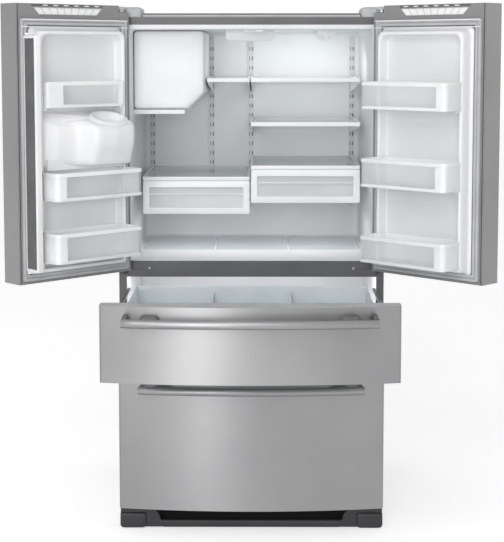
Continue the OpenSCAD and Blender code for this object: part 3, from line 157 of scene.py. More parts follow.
# The grain of a mould is a few tenths of a millimetre and doesn't show at this distance, so it
# is drawn coarser, at 0.6 to 4 mm.
FINISHES = {
    # Stainless sheet, brushed level: the grain spreads each light up and down into an upright
    # band. The lines are a tenth of a millimetre apart and are drawn coarser, at 1.2 mm.
    "stainless": finish("brushed stainless steel", "#939394", "#9b9b9b", 400, 0.34, 0.006,
                        (120, 120, 1.2), metal=1.0, rough_swing=0.03,
                        extra={"Anisotropic": 0.8, "Anisotropic Rotation": 0.25}),
    # Enamelled steel sheet: a flat mid grey with a faint orange peel
    "cabinet_paint": finish("grey enamelled steel sheet", "#8b8c8e", "#939496", 300, 0.42, 0.02,
                            (1.6, 1.6, 1.6)),
    # The same enamel in dark grey, a little smoother: a soft sheen along the edges
    "frame_paint": finish("dark grey enamelled steel", "#5b5b5c", "#646465", 220, 0.38, 0.01,
                          (2, 2, 2)),
    # Blown polyurethane foam: dull and straw yellow, with a fine open cell
    "foam": finish("polyurethane foam", "#d8c68c", "#e6d7a2", 30, 0.9, 0.3, (2, 2, 2)),
    # Vacuum-formed polystyrene: a satin white, a little uneven where the sheet was drawn
    "liner_white": finish("vacuum-formed polystyrene liner", "#e6e7e9", "#ededee", 260, 0.36, 0.01,
                          (3, 3, 3)),
    # Injection-moulded ABS: a brighter white than the liner, with a fine spark-eroded grain
    "shelf_white": finish("moulded white ABS", "#eff0f1", "#f6f6f7", 160, 0.30, 0.008,
                          (0.8, 0.8, 0.8)),
    # Float glass, toughened: clear and mirror-smooth, with a tint of green
    "pane": finish("toughened float glass", "#d4e2df", "#e0ecea", 300, 0.06, 0.0,
                   extra={"Alpha": 0.3, "IOR": 1.52}),
    # Powder coat on steel: a pale grey that sets the ladders off from the white behind them
    "ladder": finish("powder-coated steel ladder", "#d6d7d9", "#dfe0e1", 90, 0.4, 0.01, (1, 1, 1)),
    # Grey ABS from a grained mould: even and soft, with no clear reflection
    "grey_plastic": finish("moulded grey ABS", "#868687", "#8f8f90", 180, 0.45, 0.012,
                           (0.9, 0.9, 0.9)),
    # Moulded polypropylene: matt black that shows its form only along the edges
    "black_plastic": finish("black polypropylene", "#171718", "#1e1e1f", 120, 0.5, 0.01,
                            (2, 2, 2)),
    # Extruded soft PVC: pale grey and dull, like rubber
    "seal": finish("soft grey PVC seal", "#b6b7b9", "#c0c1c3", 80, 0.55, 0.02, (1.5, 1.5, 1.5)),
    # Zinc plate: pale metal with a faint spangle
    "zinc": finish("zinc-plated steel", "#b8babb", "#bfc1c2", 14, 0.38, 0.005, (3, 3, 3),
                   metal=1.0),
    # Moulded acetal: near black with a low sheen
    "roller_plastic": finish("black acetal roller", "#2a2a2b", "#333334", 20, 0.4, 0.01,
                             (0.6, 0.6, 0.6)),
    # Glossier moulded ABS: white, with a highlight along each rim
    "bin_clear": finish("moulded bin ABS", "#f1f2f3", "#f7f8f8", 140, 0.26, 0.006,
                        (0.8, 0.8, 0.8)),
    # Dipped enamel on a pressed shell: black with sharp highlights
    "compressor_paint": finish("gloss black enamel", "#0d0d0e", "#151516", 60, 0.2, 0.01,
                               (3, 3, 3)),
    # Dip paint on bent tube: black without any gloss
    "coil_paint": finish("matt black dip paint", "#1c1c1c", "#262626", 30, 0.6, 0.02, (1, 1, 1)),
    # Moulded acetal in blue: half gloss
    "valve_plastic": finish("moulded blue acetal", "#3b5577", "#456184", 30, 0.45, 0.01,
                            (0.8, 0.8, 0.8)),
    # ABS from a polished mould: black, and it mirrors the room
    "dispenser_black": finish("gloss black ABS", "#19191b", "#1f1f21", 90, 0.18, 0.004,
                              (0.8, 0.8, 0.8)),

    # From here on, finishes of single pieces and of details that are drawn below
    # Injection-moulded styrene: clear with a little haze
    "clear_styrene": finish("clear moulded styrene", "#b4babd", "#bec4c7", 200, 0.12, 0.0,
                            extra={"Alpha": 0.16, "IOR": 1.57}),
    # Vacuum-formed over a smooth tool: whiter and tighter than the compartment's liner. Its white
    # also serves as the painted highlight on the seal's beads
    "door_styrene": finish("vacuum-formed white styrene", "#eeeff0", "#f4f4f5", 220, 0.32, 0.006,
                           (2, 2, 2)),
    # Glossy styrene, tinted pale blue-grey: it mirrors the lamp above it
    "pan_styrene": finish("glossy pale blue-grey styrene", "#d6dee2", "#dfe6e9", 120, 0.12,
                          0.002, (4, 4, 4)),
    # Frosted acrylic: nearly white, and evenly lit
    "lens_acrylic": finish("frosted acrylic lens", "#f4f5f5", "#fafafa", 60, 0.35, 0.01,
                           (1, 1, 1)),
    # The same acrylic where it stands as a rib, greyed as painted shade: a thin grey line on the
    # lens
    "rib_painted_shade": finish("rib of the frosted lens, painted shade", "#cfd0d1", "#d8d9da", 60, 0.35, 0.01,
                          (1, 1, 1)),
    # Painted shade: the door liner's recessed panel, a shade greyer for the shade that falls in
    # its recess
    "door_plate": finish("recessed styrene panel, painted shade", "#e3e4e6", "#e9eaeb", 220, 0.34, 0.008,
                         (2, 2, 2)),
    # Extruded vinyl: dark grey and matt
    "strip_vinyl": finish("dark grey vinyl strip", "#5a5a5b", "#636364", 60, 0.5, 0.01,
                          (1, 1, 1)),
    # Punched slots, drawn as thin plates instead of holes: painted shade for the column that is
    # seen into, painted light for the column whose side catches light
    "slot_painted_shade": finish("slot of the ladder, painted shade", "#595a5f", "#626368", 20, 0.7, 0.0),
    "slot_painted_light": finish("slot of the ladder, painted light", "#9c9da1", "#a5a6aa", 20, 0.7, 0.0),
    # Polypropylene again, on the feet and the plinth, drawn lighter as painted light where it
    # catches a little light
    "plinth_plastic_painted_light": finish("polypropylene, lightened as painted light", "#29292b", "#2f2f31", 90, 0.45, 0.01,
                             (2, 2, 2)),
    # Painted shade: the gap over the plinth is drawn as a near-black sheet, as no light comes back
    # from it
    "gap_painted_shade": finish("unlit gap", "#0b0b0b", "#0f0f0f", 60, 0.9, 0.0),
    # Grey ABS in a paler tone, for the hinge covers
    "cover_plastic": finish("moulded pale grey ABS", "#b3b4b6", "#bcbdbf", 60, 0.4, 0.012,
                            (0.9, 0.9, 0.9)),
    # Dark grey with a low sheen: painted shade and painted reflection on the handle posts, and the
    # plain tone of the top rail
    "post_shade_and_rail_grey": finish("dark grey, painted shade on the handle posts", "#5a5b5d", "#636466", 40, 0.4, 0.01,
                        (1, 1, 1)),
    # Painted highlight: a pale line along a folded edge, between the darker faces
    "edge_painted_highlight": finish("enamelled edge, painted highlight", "#b2b3b4", "#bdbebf", 60, 0.42, 0.015,
                         (1.4, 1.4, 1.4)),
    # Painted shade: the shadow in a narrow joint of two sheets, drawn as a dark strip
    "seam_shadow": finish("seam, painted shade", "#454546", "#4d4d4e", 60, 0.7, 0.0),
}

slots_of_nodes = {part["node"]: part["material_slot"] for part in frame["record"]["subparts"]}
for node_name, node in frame["nodes"].items():
    node.data.materials.clear()
    node.data.materials.append(FINISHES[slots_of_nodes[node_name]])
frame["nodes"]["lower_hinges"].data.materials[0] = FINISHES["frame_paint"]


# Drawing helpers. The right door is drawn as the left one and mirrored. A box is written as
# its six planes: x0, x1, y0, y1, z0, z1.

SWING = (Matrix.Translation(HINGE) @ Matrix.Rotation(-DOOR_OPEN, 4, "Z")
         @ Matrix.Translation(-HINGE))
PLACES = {"left": SWING, "right": Matrix.Scale(-1, 4, (1, 0, 0)) @ SWING,
          "pantry": Matrix.Translation((0, -PANTRY_OUT, 0)), "still": Matrix.Identity(4)}
BOX_FACES = ((0, 1, 3, 2), (4, 6, 7, 5), (0, 4, 5, 1), (2, 3, 7, 6), (0, 2, 6, 4), (1, 5, 7, 3))
AXIS_ORDERS = {"x": (2, 0, 1), "y": (0, 2, 1), "z": (0, 1, 2)}
EASE_STEPS = 2
WELD = 1e-5  # metres within which two corners of a solid are one
FLAT = math.radians(0.6)  # faces that meet at less than this are one face
MOULDED_CREASE = 28  # degrees


def block(shape, x0, x1, y0, y1, z0, z1):
    """Adds a box."""
    verts = [shape.verts.new((x, y, z)) for x in (x0, x1) for y in (y0, y1) for z in (z0, z1)]
    for face in BOX_FACES:
        shape.faces.new([verts[i] for i in face])


def loft(shape, rings):
    """Joins rings of the same count into one skin, closed at both ends."""
    rows = [[shape.verts.new(point) for point in row] for row in rings]
    count = len(rows[0])
    for near, far in zip(rows, rows[1:]):
        for i in range(count):
            j = (i + 1) % count
            shape.faces.new((near[i], near[j], far[j], far[i]))
    shape.faces.new(rows[0])
    shape.faces.new(rows[-1][::-1])


def boxes(rows):
    """A drawing of boxes."""
    shape = bmesh.new()
    for planes in rows:
        block(shape, *planes)
    return shape


def mirrored(box, side):
    """The box on the right of the middle, or its mirror image when side is -1."""
    x0, x1 = sorted((side * box[0], side * box[1]))
    return (x0, x1, *box[2:])


def lofted(*skins):
    """A drawing of skins, each one given by its rings."""
    shape = bmesh.new()
    for rings in skins:
        loft(shape, rings)
    return shape


def prism(shape, outline, start, end, axis="z"):
    """Adds an outline drawn in the other two axes, run from start to end along one axis."""
    order = AXIS_ORDERS[axis]
    loft(shape, [[[(u, v, value)[k] for k in order] for u, v in outline]
                 for value in (start, end)])


def lying(outline, z):
    """The outline as a level ring at height z."""
    return [(u, v, z) for u, v in outline]


def standing(outline, y):
    """The outline as an upright ring at depth y."""
    return [(u, y, v) for u, v in outline]


def ring(x0, x1, z0, z1, top, y, foot=None, steps=6):
    """Rounded rectangle across the depth y, with its own radius at the top and the foot."""
    foot = top if foot is None else foot
    points = []
    for cx, cz, r, turn in ((x1 - top, z1 - top, top, 0), (x0 + top, z1 - top, top, 90),
                            (x0 + foot, z0 + foot, foot, 180), (x1 - foot, z0 + foot, foot, 270)):
        for i in range(steps + 1):
            a = math.radians(turn + 90 * i / steps)
            points.append((cx + r * math.cos(a), y, cz + r * math.sin(a)))
    return points


def rounded(corners, radii, steps=4):
    """Outline through the corners, each one rounded off by its own radius."""
    points = []
    for i, corner in enumerate(corners):
        corner, r = Vector(corner), radii[i]
        to_before = (Vector(corners[i - 1]) - corner).normalized()
        to_after = (Vector(corners[(i + 1) % len(corners)]) - corner).normalized()
        half = math.acos(max(-1, min(1, to_before.dot(to_after)))) / 2
        reach = r / math.tan(half)
        middle = corner + (to_before + to_after).normalized() * (r / math.sin(half))
        start = corner + to_before * reach - middle
        end = corner + to_after * reach - middle
        for k in range(steps + 1):
            points.append(middle + start.slerp(end, k / steps).normalized() * r)
    return points


def circle(cx, cy, r, steps, squeeze=1.0):
    """Circle about (cx, cy), squeezed along its second axis."""
    return [(cx + r * math.cos(2 * math.pi * i / steps),
             cy + squeeze * r * math.sin(2 * math.pi * i / steps)) for i in range(steps)]


def ease_edges(piece, radius, crease):
    """Rounds off the edges that turn by more than crease degrees."""
    ease = piece.modifiers.new("edge", "BEVEL")
    ease.width = radius * MM
    ease.segments = EASE_STEPS
    ease.limit_method = "ANGLE"
    ease.angle_limit = math.radians(crease)
    ease.harden_normals = True


def dressed(name, shape, body, slot, place="still", look=None, replaces=(), edge=0.0, crease=35):
    """Turns a drawn shape into a piece that rides on a body, with its edges eased."""
    shape.transform(Matrix.Scale(MM, 4) @ PLACES[place])
    bmesh.ops.recalc_face_normals(shape, faces=shape.faces)
    mesh = bpy.data.meshes.new(name)
    shape.to_mesh(mesh)
    shape.free()
    made = link(name, mesh)
    mesh.materials.append(FINISHES[look or slot])
    mesh.polygons.foreach_set("use_smooth", [True] * len(mesh.polygons))
    if edge:
        ease_edges(made, edge, crease)
    else:
        mesh.set_sharp_from_angle(angle=math.radians(crease))
    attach(made, body)
    if replaces:
        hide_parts(*replaces)


def on_door(side, name, shape, slot, **more):
    """A drawn piece of one door, named for its side."""
    dressed(side + "_" + name, shape, side + "_door", slot, side, **more)


def clear_windows(shape, windows, to_world):
    """Cuts the faces along the sides of each window, a box between two corners, and gives
    the second material to what lies inside."""
    turned = to_world.to_3x3()
    for window in windows:
        for corner in window:
            for way in ((1, 0, 0), (0, 0, 1)):
                bmesh.ops.bisect_plane(
                    shape, geom=shape.verts[:] + shape.edges[:] + shape.faces[:],
                    plane_co=to_world @ Vector(corner),
                    plane_no=(turned @ Vector(way)).normalized())
    to_drawn = to_world.inverted()
    for face in shape.faces:
        middle = to_drawn @ face.calc_center_median()
        for low, high in windows:
            if all(a < b < c for a, b, c in zip(low, middle, high)):
                face.material_index = 1


def moulded(node_name, radius, place="still", windows=(), look=None):
    """The solid's own form with its flat faces joined up, its windows cleared and its edges
    rounded off."""
    source = frame["nodes"][node_name]
    slot = slots_of_nodes[node_name]
    mesh = bpy.data.meshes.new(node_name + "_moulded")
    shape = bmesh.new()
    shape.from_mesh(source.data)
    bmesh.ops.remove_doubles(shape, verts=shape.verts, dist=WELD)
    bmesh.ops.dissolve_limit(shape, angle_limit=FLAT, verts=shape.verts, edges=shape.edges)
    clear_windows(shape, windows, Matrix.Scale(MM, 4) @ PLACES[place])
    shape.to_mesh(mesh)
    shape.free()
    piece = link(mesh.name, mesh)
    mesh.materials.append(FINISHES[look or slot])
    mesh.materials.append(FINISHES["clear_styrene"])
    mesh.polygons.foreach_set("use_smooth", [True] * len(mesh.polygons))
    ease_edges(piece, radius, MOULDED_CREASE)
    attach(piece, source["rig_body"])
    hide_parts(node_name)


# The refrigerated compartment

FRIDGE = (-410, 410, 924, 1706)  # its opening: x0, x1, z0, z1
TUB_FOOT_RADIUS = 2
TUB_FLOOR_RISE = 0.4  # the floor rises by this share of the back's inset
# The tub from its outer back to the front of its lip: how far outside the opening it stands
# at the sides, the foot and the top, the radius of its corners, and the depth
TUB_OUTSIDE = [(3, 9, 3, 14, 643), (3, 9, 3, 14, 18.2), (3, 3, 3, 10, 18), (3, 3, 3, 6, 3),
               (17, 3, 17, 4, 3), (17, 3, 17, 4, 1), (16.2, 2.4, 16.2, 4, 0)]
# The roll of the lip and the rounded back: how far inside the opening, radius, depth
TUB_LIP = [(-7, 6, 0), (-3, 8, 0.8), (-0.8, 10, 3), (0, 12, 8)]
TUB_BACK = [(0, 14, 615), (2, 16, 628), (6, 20, 636), (14, 26, 640)]

PAN_SPANS = [(-390.5, -135.5), (-127.5, 127.5), (135.5, 390.5)]
PAN_FRONT, PAN_BACK = 240, 615
PAN_CORNER = 12
# Inset and height of the pan's edge, from outside the rim to the pan's floor
PAN_EDGE = [(0, 924.0), (0, 925.2), (2, 926), (5, 925.8), (7, 924.6), (9, 924.4)]

LADDER_MIDDLES = (-381, -155, -5, 379)
# Each column of slots is a row of thin plates, one column in painted light and one in painted
# shade
LADDER_COLUMNS = {"slot_painted_light": -5, "slot_painted_shade": 5}
LADDER_SLOT_FEET = range(1060, 1662, 36)
LADDER_SLOT_WIDTH, LADDER_SLOT_HEIGHT = 3.6, 14
LADDER_SLOT_DEPTHS = (633.4, 634.2)

ICE_FRONT = (-410, -163, 1433, 1706)  # x0, x1, z0, z1
ICE_CUT = 57  # size of the corner cut off at the lower right
ICE_CUT_GROWTH = 0.4  # the cut grows by this share of the inset
ICE_FRONT_EDGE = [(173.5, 2, 14), (140, 2, 14), (132, 3, 15), (127, 7, 18), (125.4, 14, 20),
                  (125, 24, 22)]  # depth, inset, radius
ICE_TRAY = (-398, -185, 150, 560, 1479, 1616)
ICE_TRAY_WALL = 3

# Two cheeks and the wall behind
FLAP_GUIDE = [(-24, -14.2, 6, 48, 1699, 1705.9), (14.2, 40, 6, 48, 1699, 1705.9),
              (-14, 14, 30.2, 48, 1699, 1705.9)]
LAMP_PLATE = (-68, 68, 166, 309, 1672.3, 1674)
LAMP_RIBS = range(-66, 63, 8)
LAMP_RIB_WIDTH = 4.5
LAMP_RIB_DEPTHS = (168, 307)
LAMP_RIB_LEVELS = (1670.2, 1672.4)


def fridge_liner():
    """One vacuum-formed tub with a lip on the flange and soft inner corners."""
    x0, x1, z0, z1 = FRIDGE
    rings = [ring(x0 - sides, x1 + sides, z0 - foot, z1 + top, radius, y)
             for sides, foot, top, radius, y in TUB_OUTSIDE]
    rings += [ring(x0 + inset, x1 - inset, z0, z1 - inset, radius, y, TUB_FOOT_RADIUS)
              for inset, radius, y in TUB_LIP]
    rings += [ring(x0 + inset, x1 - inset, z0 + inset * TUB_FLOOR_RISE, z1 - inset, radius, y,
                   TUB_FOOT_RADIUS + radius / 3) for inset, radius, y in TUB_BACK]
    dressed("fridge_liner_moulded", lofted(rings), "cabinet", "liner_white",
            replaces=("fridge_liner",), crease=40)


def floor_pans():
    """Three shallow pans let into the compartment's floor."""
    pans = bmesh.new()
    for x0, x1 in PAN_SPANS:
        rings = []
        for inset, z in PAN_EDGE:
            outline = ring(x0 + inset, x1 - inset, PAN_FRONT + inset, PAN_BACK - inset,
                           PAN_CORNER, 0)
            rings.append([(x, y, z) for x, _, y in outline])
        loft(pans, rings)
    dressed("floor_pans", pans, "cabinet", "liner_white", look="pan_styrene")


def ladder_slots():
    """The two columns of slots down each shelf ladder, drawn as thin plates: one column of painted
    light, one of painted shade.
    """
    half = LADDER_SLOT_WIDTH / 2
    for look, column in LADDER_COLUMNS.items():
        slots = boxes((x + column - half, x + column + half, *LADDER_SLOT_DEPTHS,
                       z, z + LADDER_SLOT_HEIGHT)
                      for x in LADDER_MIDDLES for z in LADDER_SLOT_FEET)
        dressed("ladder_" + look, slots, "cabinet", "ladder", look=look)


def flap_guide():
    """The guide in the ceiling that turns the flap."""
    dressed("flap_guide", boxes(FLAP_GUIDE), "cabinet", "liner_white", edge=1.2)


def ice_outline(y, inset, radius):
    """Outline of the ice bin's front at one depth, with its lower right corner cut off."""
    x0, x1, z0, z1 = ICE_FRONT
    x0, x1, z0, z1 = x0 + inset, x1 - inset, z0 + inset, z1 - inset
    cut = ICE_CUT + ICE_CUT_GROWTH * inset
    corners = [(x1, z0 + cut), (x1, z1), (x0, z1), (x0, z0), (x1 - cut, z0)]
    return standing(rounded(corners, [radius] * len(corners)), y)


def ice_bin():
    """The ice bin: a crowned front and the open tray behind it."""
    x0, x1, y0, y1, z0, z1 = ICE_TRAY
    wall = ICE_TRAY_WALL
    shape = lofted([ice_outline(*row) for row in ICE_FRONT_EDGE])
    block(shape, x0, x0 + wall, y0, y1, z0, z1)
    block(shape, x1 - wall, x1, y0, y1, z0, z1)
    block(shape, x0 + wall, x1 - wall, y0, y1, z0, z0 + wall)
    block(shape, x0 + wall, x1 - wall, y1 - wall, y1, z0 + wall, z1)
    dressed("ice_bin_front", shape, "ice_bucket", "shelf_white", replaces=("ice_bin",), crease=30)


def lamp_lens():
    """The lens under the ceiling lamp, with ribs across it."""
    lens = boxes((x, x + LAMP_RIB_WIDTH, *LAMP_RIB_DEPTHS, *LAMP_RIB_LEVELS)
                 for x in LAMP_RIBS)
    block(lens, *LAMP_PLATE)
    dressed("lamp_lens", lens, "cabinet", "shelf_white", look="lens_acrylic", edge=0.5)


fridge_liner()
floor_pans()
ladder_slots()
flap_guide()
ice_bin()
lamp_lens()


# The doors

RIM = (-403.5, -55.5, 929, 1700)  # foot of the liner's rim: x0, x1, z0, z1
# The liner from its back over the rim into the recess: inset, depth, radius of the corners at
# the top and at the foot
LINER_PROFILE = [
    (0.2, -15, 10, 10), (0.2, -12.1, 10, 10), (-10.4, -12, 16, 14), (-10.4, -10.8, 16, 14),
    (-9, -10, 16, 14), (-4, -8.6, 18, 14), (-1, -5, 20, 14), (0.4, 4, 20, 13), (2, 24, 20, 12),
    (3.6, 30, 21, 12), (6.4, 32.6, 22, 10), (8.5, 33, 22, 9), (11, 32.7, 24, 6),
    (13.4, 30.8, 26, 4), (14.6, 27, 26, 3), (15, 20, 26, 2.5), (15.3, 0, 26, 2.5),
    (16.6, -4.6, 26, 2.5), (21, -7, 24, 2)]
LINER_STEPS = 8
LEDGES = {"left": (1455, 1164, 966), "right": (1447, 1193)}  # feet of the bins they carry
LEDGE_INSET = 15.1
LEDGE_WIDTH = 12
LEDGE_DEPTHS = (-6, 32)
LEDGE_DROPS = (8.2, 0.2)  # from the bin's foot down to the foot and the top of the ledge
PLATE_INSET = 18.5
PLATE_RADIUS, PLATE_FOOT_RADIUS = 24, 3
PLATE_DEPTHS = (-7.4, -6.4)
EAR_FEET = (932, 1685)  # ears of the flap
EAR_PIN = (-25, 12)
EAR_RADIUS = 8
EAR_ROOT = -58
EAR_THICK = 6

LIGHT = (-341.5, -67.5, 1750, 1772)  # the light panel: x0 and x1 along its top, z0, z1
LIGHT_SLANT = 22  # its foot is shorter by this at each end
LIGHT_GAP = 0.1  # to the pocket above and below it
LIGHT_END_GAP = 0.3
LIGHT_DEPTHS = (-18, -15.5)
LIGHT_CELLS = 9
RIB_HALF = 1.5
RIB_GAP = 0.6  # from the end of a rib to the pocket
RIB_DEPTHS = (-15.6, -14.6)
VENT_BAND = (-342, -60, -12.1, -11.7, 1775.4, 1782.2)
VENT_SLOTS = range(-318, -112, 41)
VENT_SLOT_LEVEL = 1778.8
VENT_SLOT_RADIUS, VENT_SLOT_SQUEEZE = 11, 0.17
VENT_SLOT_DEPTHS = (-11.8, -11.2)
DOOR_SEAM = (-8.6, -5.6, -12.1, -11.6, 895, 1782)
# Thin white strips of painted highlight along the seal's two beads
SEAL_BEAD_HIGHLIGHTS = [(-438, -16, -0.5, -0.1, z, z + 2.6) for z in (1709, 1732)]
FLAP_STRIP = (-15.5, -14.4, 13.4, 63.6, 949.4, 1673.6)


def door_liner(side):
    """Inner side of a door: its rim, the ledges under the bins, the recessed panel, greyed as
    painted shade, and, on the left, the ears that carry the flap."""
    x0, x1, z0, z1 = RIM
    shape = lofted([ring(x0 + inset, x1 - inset, z0 + inset, z1 - inset, top, y, foot,
                         LINER_STEPS) for inset, y, top, foot in LINER_PROFILE])
    for z in LEDGES[side]:
        foot, top = (z - drop for drop in LEDGE_DROPS)
        for start in (x0 + LEDGE_INSET, x1 - LEDGE_INSET - LEDGE_WIDTH):
            block(shape, start, start + LEDGE_WIDTH, *LEDGE_DEPTHS, foot, top)
    # The recessed panel is a thin sheet over the recess, greyed as painted shade
    plate = lofted([ring(x0 + PLATE_INSET, x1 - PLATE_INSET, z0 + PLATE_INSET, z1 - PLATE_INSET,
                         PLATE_RADIUS, y, PLATE_FOOT_RADIUS) for y in PLATE_DEPTHS])
    on_door(side, "liner_plate", plate, "liner_white", look="door_plate")
    if side == "left":
        x, y = EAR_PIN
        arc = [(x + EAR_RADIUS * math.cos(math.radians(a)),
                y + EAR_RADIUS * math.sin(math.radians(a))) for a in range(-90, 91, 15)]
        for z in EAR_FEET:
            prism(shape, [(EAR_ROOT, y - EAR_RADIUS)] + arc + [(EAR_ROOT, y + EAR_RADIUS)],
                  z, z + EAR_THICK)
    on_door(side, "liner_moulded", shape, "liner_white", look="door_styrene",
            replaces=(side + "_door_liner",), crease=42)


def light_panel(side):
    """Ribbed diffuser in the top band of a door."""
    x0, x1, z0, z1 = LIGHT
    panel = bmesh.new()
    prism(panel, [(x0 + LIGHT_SLANT, z0 + LIGHT_GAP), (x1 - LIGHT_SLANT, z0 + LIGHT_GAP),
                  (x1 - LIGHT_END_GAP, z1 - LIGHT_GAP), (x0 + LIGHT_END_GAP, z1 - LIGHT_GAP)],
          *LIGHT_DEPTHS, "y")
    on_door(side, "light_panel", panel, "liner_white", look="lens_acrylic", crease=25)
    # The ribs are the lens's own acrylic, greyed with painted shade
    ribs = bmesh.new()
    for i in range(1, LIGHT_CELLS):
        top = x0 + (x1 - x0) * i / LIGHT_CELLS
        foot = x0 + LIGHT_SLANT + (x1 - x0 - 2 * LIGHT_SLANT) * i / LIGHT_CELLS
        prism(ribs, [(foot - RIB_HALF, z0 + RIB_GAP), (foot + RIB_HALF, z0 + RIB_GAP),
                     (top + RIB_HALF, z1 - RIB_GAP), (top - RIB_HALF, z1 - RIB_GAP)],
              *RIB_DEPTHS, "y")
    on_door(side, "light_ribs", ribs, "liner_white", look="rib_painted_shade")


def vents(side):
    """The dark band over the light panel, and the row of slots in it."""
    on_door(side, "vent_band", boxes([VENT_BAND]), "frame_paint")
    slots = bmesh.new()
    for x in VENT_SLOTS:
        prism(slots, circle(x, VENT_SLOT_LEVEL, VENT_SLOT_RADIUS, 20, VENT_SLOT_SQUEEZE),
              *VENT_SLOT_DEPTHS, "y")
    on_door(side, "vent_slots", slots, "liner_white")


def door_seam(side):
    """Seam where the wrapped steel meets the inner frame, down the free edge: a dark strip of
    painted shade.
    """
    on_door(side, "door_seam", boxes([DOOR_SEAM]), "frame_paint", look="seam_shadow")


def seal_bead_highlights(side):
    """Painted highlights on the two beads along the top run of the door seal: thin white strips.
    """
    on_door(side, "seal_bead_highlights", boxes(SEAL_BEAD_HIGHLIGHTS), "seal", look="door_styrene")


def flap_strip():
    """The dark vinyl strip down the face of the flap."""
    dressed("flap_strip", boxes([FLAP_STRIP]), "flap", "seal", "left", look="strip_vinyl",
            edge=0.4)


for side in ("left", "right"):
    door_liner(side)
for side in ("left", "right"):
    light_panel(side)
    vents(side)
    door_seam(side)
    seal_bead_highlights(side)
flap_strip()


# The ice chute on the left door: one skin, from its foot up the bulge, over the tilted top and
# down into the mouth


def evenly(outline, step):
    """The same closed outline with its points a step apart."""
    points = []
    for i, start in enumerate(outline):
        end = outline[(i + 1) % len(outline)]
        count = max(1, round((end - start).length / step))
        points += [start.lerp(end, k / count) for k in range(count)]
    return points


CHUTE_BACK = -6.8  # just inside the door's recessed panel
CHUTE_POINT_GAP = 7
CHUTE_ROOT = 14  # depth over which a row's inset fades out towards the back
CHUTE_PLAN = evenly(rounded(
    [(-71.6, CHUTE_BACK), (-71.6, 24), (-120, 44), (-186, 50), (-224, 112), (-296, 120),
     (-387.5, 114), (-387.5, CHUTE_BACK)], [1.5, 16, 60, 36, 34, 120, 34, 1.5], 8),
    CHUTE_POINT_GAP)
CHUTE_SIDES = [(3, 0.79, 1269.5), (0, 0.80, 1273), (0, 0.83, 1290), (0, 0.90, 1312),
               (0, 0.97, 1330), (0, 1, 1350)]  # inset, taper, height
CHUTE_SHOULDER = [(27, 0), (19.5, 0.8), (13.5, 3), (10, 6.5), (8.2, 11),
                  (8, 15)]  # drop below the top, inset
TOP_HEIGHT = 1450
GENTLE_SLOPE, STEEP_SLOPE = 0.4, 0.9
SLOPES_MEET = (-222, 60)  # where the steep slope starts, and how wide the change is
MOUTH_MIDDLE = (-306, 62)
MOUTH_SHAPE = (90, 60)  # the proportion that spreads the points round the mouth
MOUTH_HEIGHT = 1422.5
MOUTH = [(73.5, 52, -8.3), (71.5, 50.5, -6.5), (68.5, 48, -2), (64.5, 45, 0.5),
         (60, 41.5, 0.5), (56, 38, -1.5), (52, 33, -8), (48, 28.5, -15), (43, 25, -20),
         (35, 20, -23), (21, 12, -24)]  # half width, half depth, rise
CHUTE_FOOT = (-380, -82, 4, 36, 1256, 1290)


def soft_step(share):
    """0 to 1 with a gentle start and end."""
    share = max(0.0, min(1.0, share))
    return share * share * (3 - 2 * share)


def chute_top(x, y):
    """Height of the tilted top: gentle round the mouth, steep beside it."""
    start, width = SLOPES_MEET
    blend = soft_step((x - start) / width)
    return TOP_HEIGHT - (y - CHUTE_BACK) * (
        GENTLE_SLOPE + (STEEP_SLOPE - GENTLE_SLOPE) * blend)


def chute_row(inset, taper=1.0, level=None, drop=0):
    """One row of the chute, its plan drawn in by inset: level, or drop below the tilted top."""
    row = []
    count = len(CHUTE_PLAN)
    for i, point in enumerate(CHUTE_PLAN):
        along = (CHUTE_PLAN[(i + 1) % count] - CHUTE_PLAN[i - 1]).normalized()
        free = max(0.0, min(1.0, (point.y - CHUTE_BACK) / CHUTE_ROOT))
        x = point.x - along.y * inset * free
        y = CHUTE_BACK + (point.y + along.x * inset * free - CHUTE_BACK) * taper
        row.append((x, y, chute_top(x, y) - drop if level is None else level))
    return row


def mouth_row(half_width, half_depth, rise):
    """One ring of the mouth, its points in line with those of the plan."""
    row = []
    mouth_x, mouth_y = MOUTH_MIDDLE
    wide, deep = MOUTH_SHAPE
    for point in CHUTE_PLAN:
        turn = math.atan2((point.y - mouth_y) / deep, (point.x - mouth_x) / wide)
        x = mouth_x + half_width * math.cos(turn)
        y = mouth_y + half_depth * math.sin(turn)
        row.append((x, y, MOUTH_HEIGHT - GENTLE_SLOPE * (y - mouth_y) + rise))
    return row


def ice_chute():
    """The moulded bulge with its mouth, and the foot that meets the bin below."""
    shape = lofted([chute_row(*row) for row in CHUTE_SIDES]
                   + [chute_row(inset, drop=drop) for drop, inset in CHUTE_SHOULDER]
                   + [mouth_row(*row) for row in MOUTH])
    block(shape, *CHUTE_FOOT)
    dressed("ice_chute_moulded", shape, "left_door", "shelf_white", "left", look="door_styrene",
            replaces=("ice_chute",), crease=70)


ice_chute()


# Bins, drawers and other solids that need only their edges rounded and their windows cleared

BINS = {"left_bin_middle": (1164, 1252), "left_bin_lower": (966, 1061),
        "right_bin_upper": (1447, 1535), "right_bin_middle": (1193, 1285),
        "right_bin_lower": (944.2, 1031)}  # foot and top
BIN_WINDOW_SPAN = (-393.5, -96)
BIN_WINDOW_DEPTHS = (100, 119)
BIN_SILL, BIN_HEAD = 9.9, 11.9  # from the foot to the window, and from the window to the top
UPPER_BIN_WINDOW = ((-356, 40, 1464.9), (-136.5, 49, 1525.1))
DELI_DRAWERS = {"left": (-380, -6.5, 1198), "right": (-3.5, 378, 1237)}  # x0, x1, top
DELI_FRAME = 22  # from the drawer's side to its window
DELI_WINDOW_DEPTHS = (130.5, 134.5)
DELI_WINDOW_DROPS = (109, 36)  # from the drawer's top to the window's foot and top
DELI_PULL_INSET = 23.2
DELI_PULL_DEPTHS = (127.2, 131)
DELI_PULL_DROPS = (62, 58)

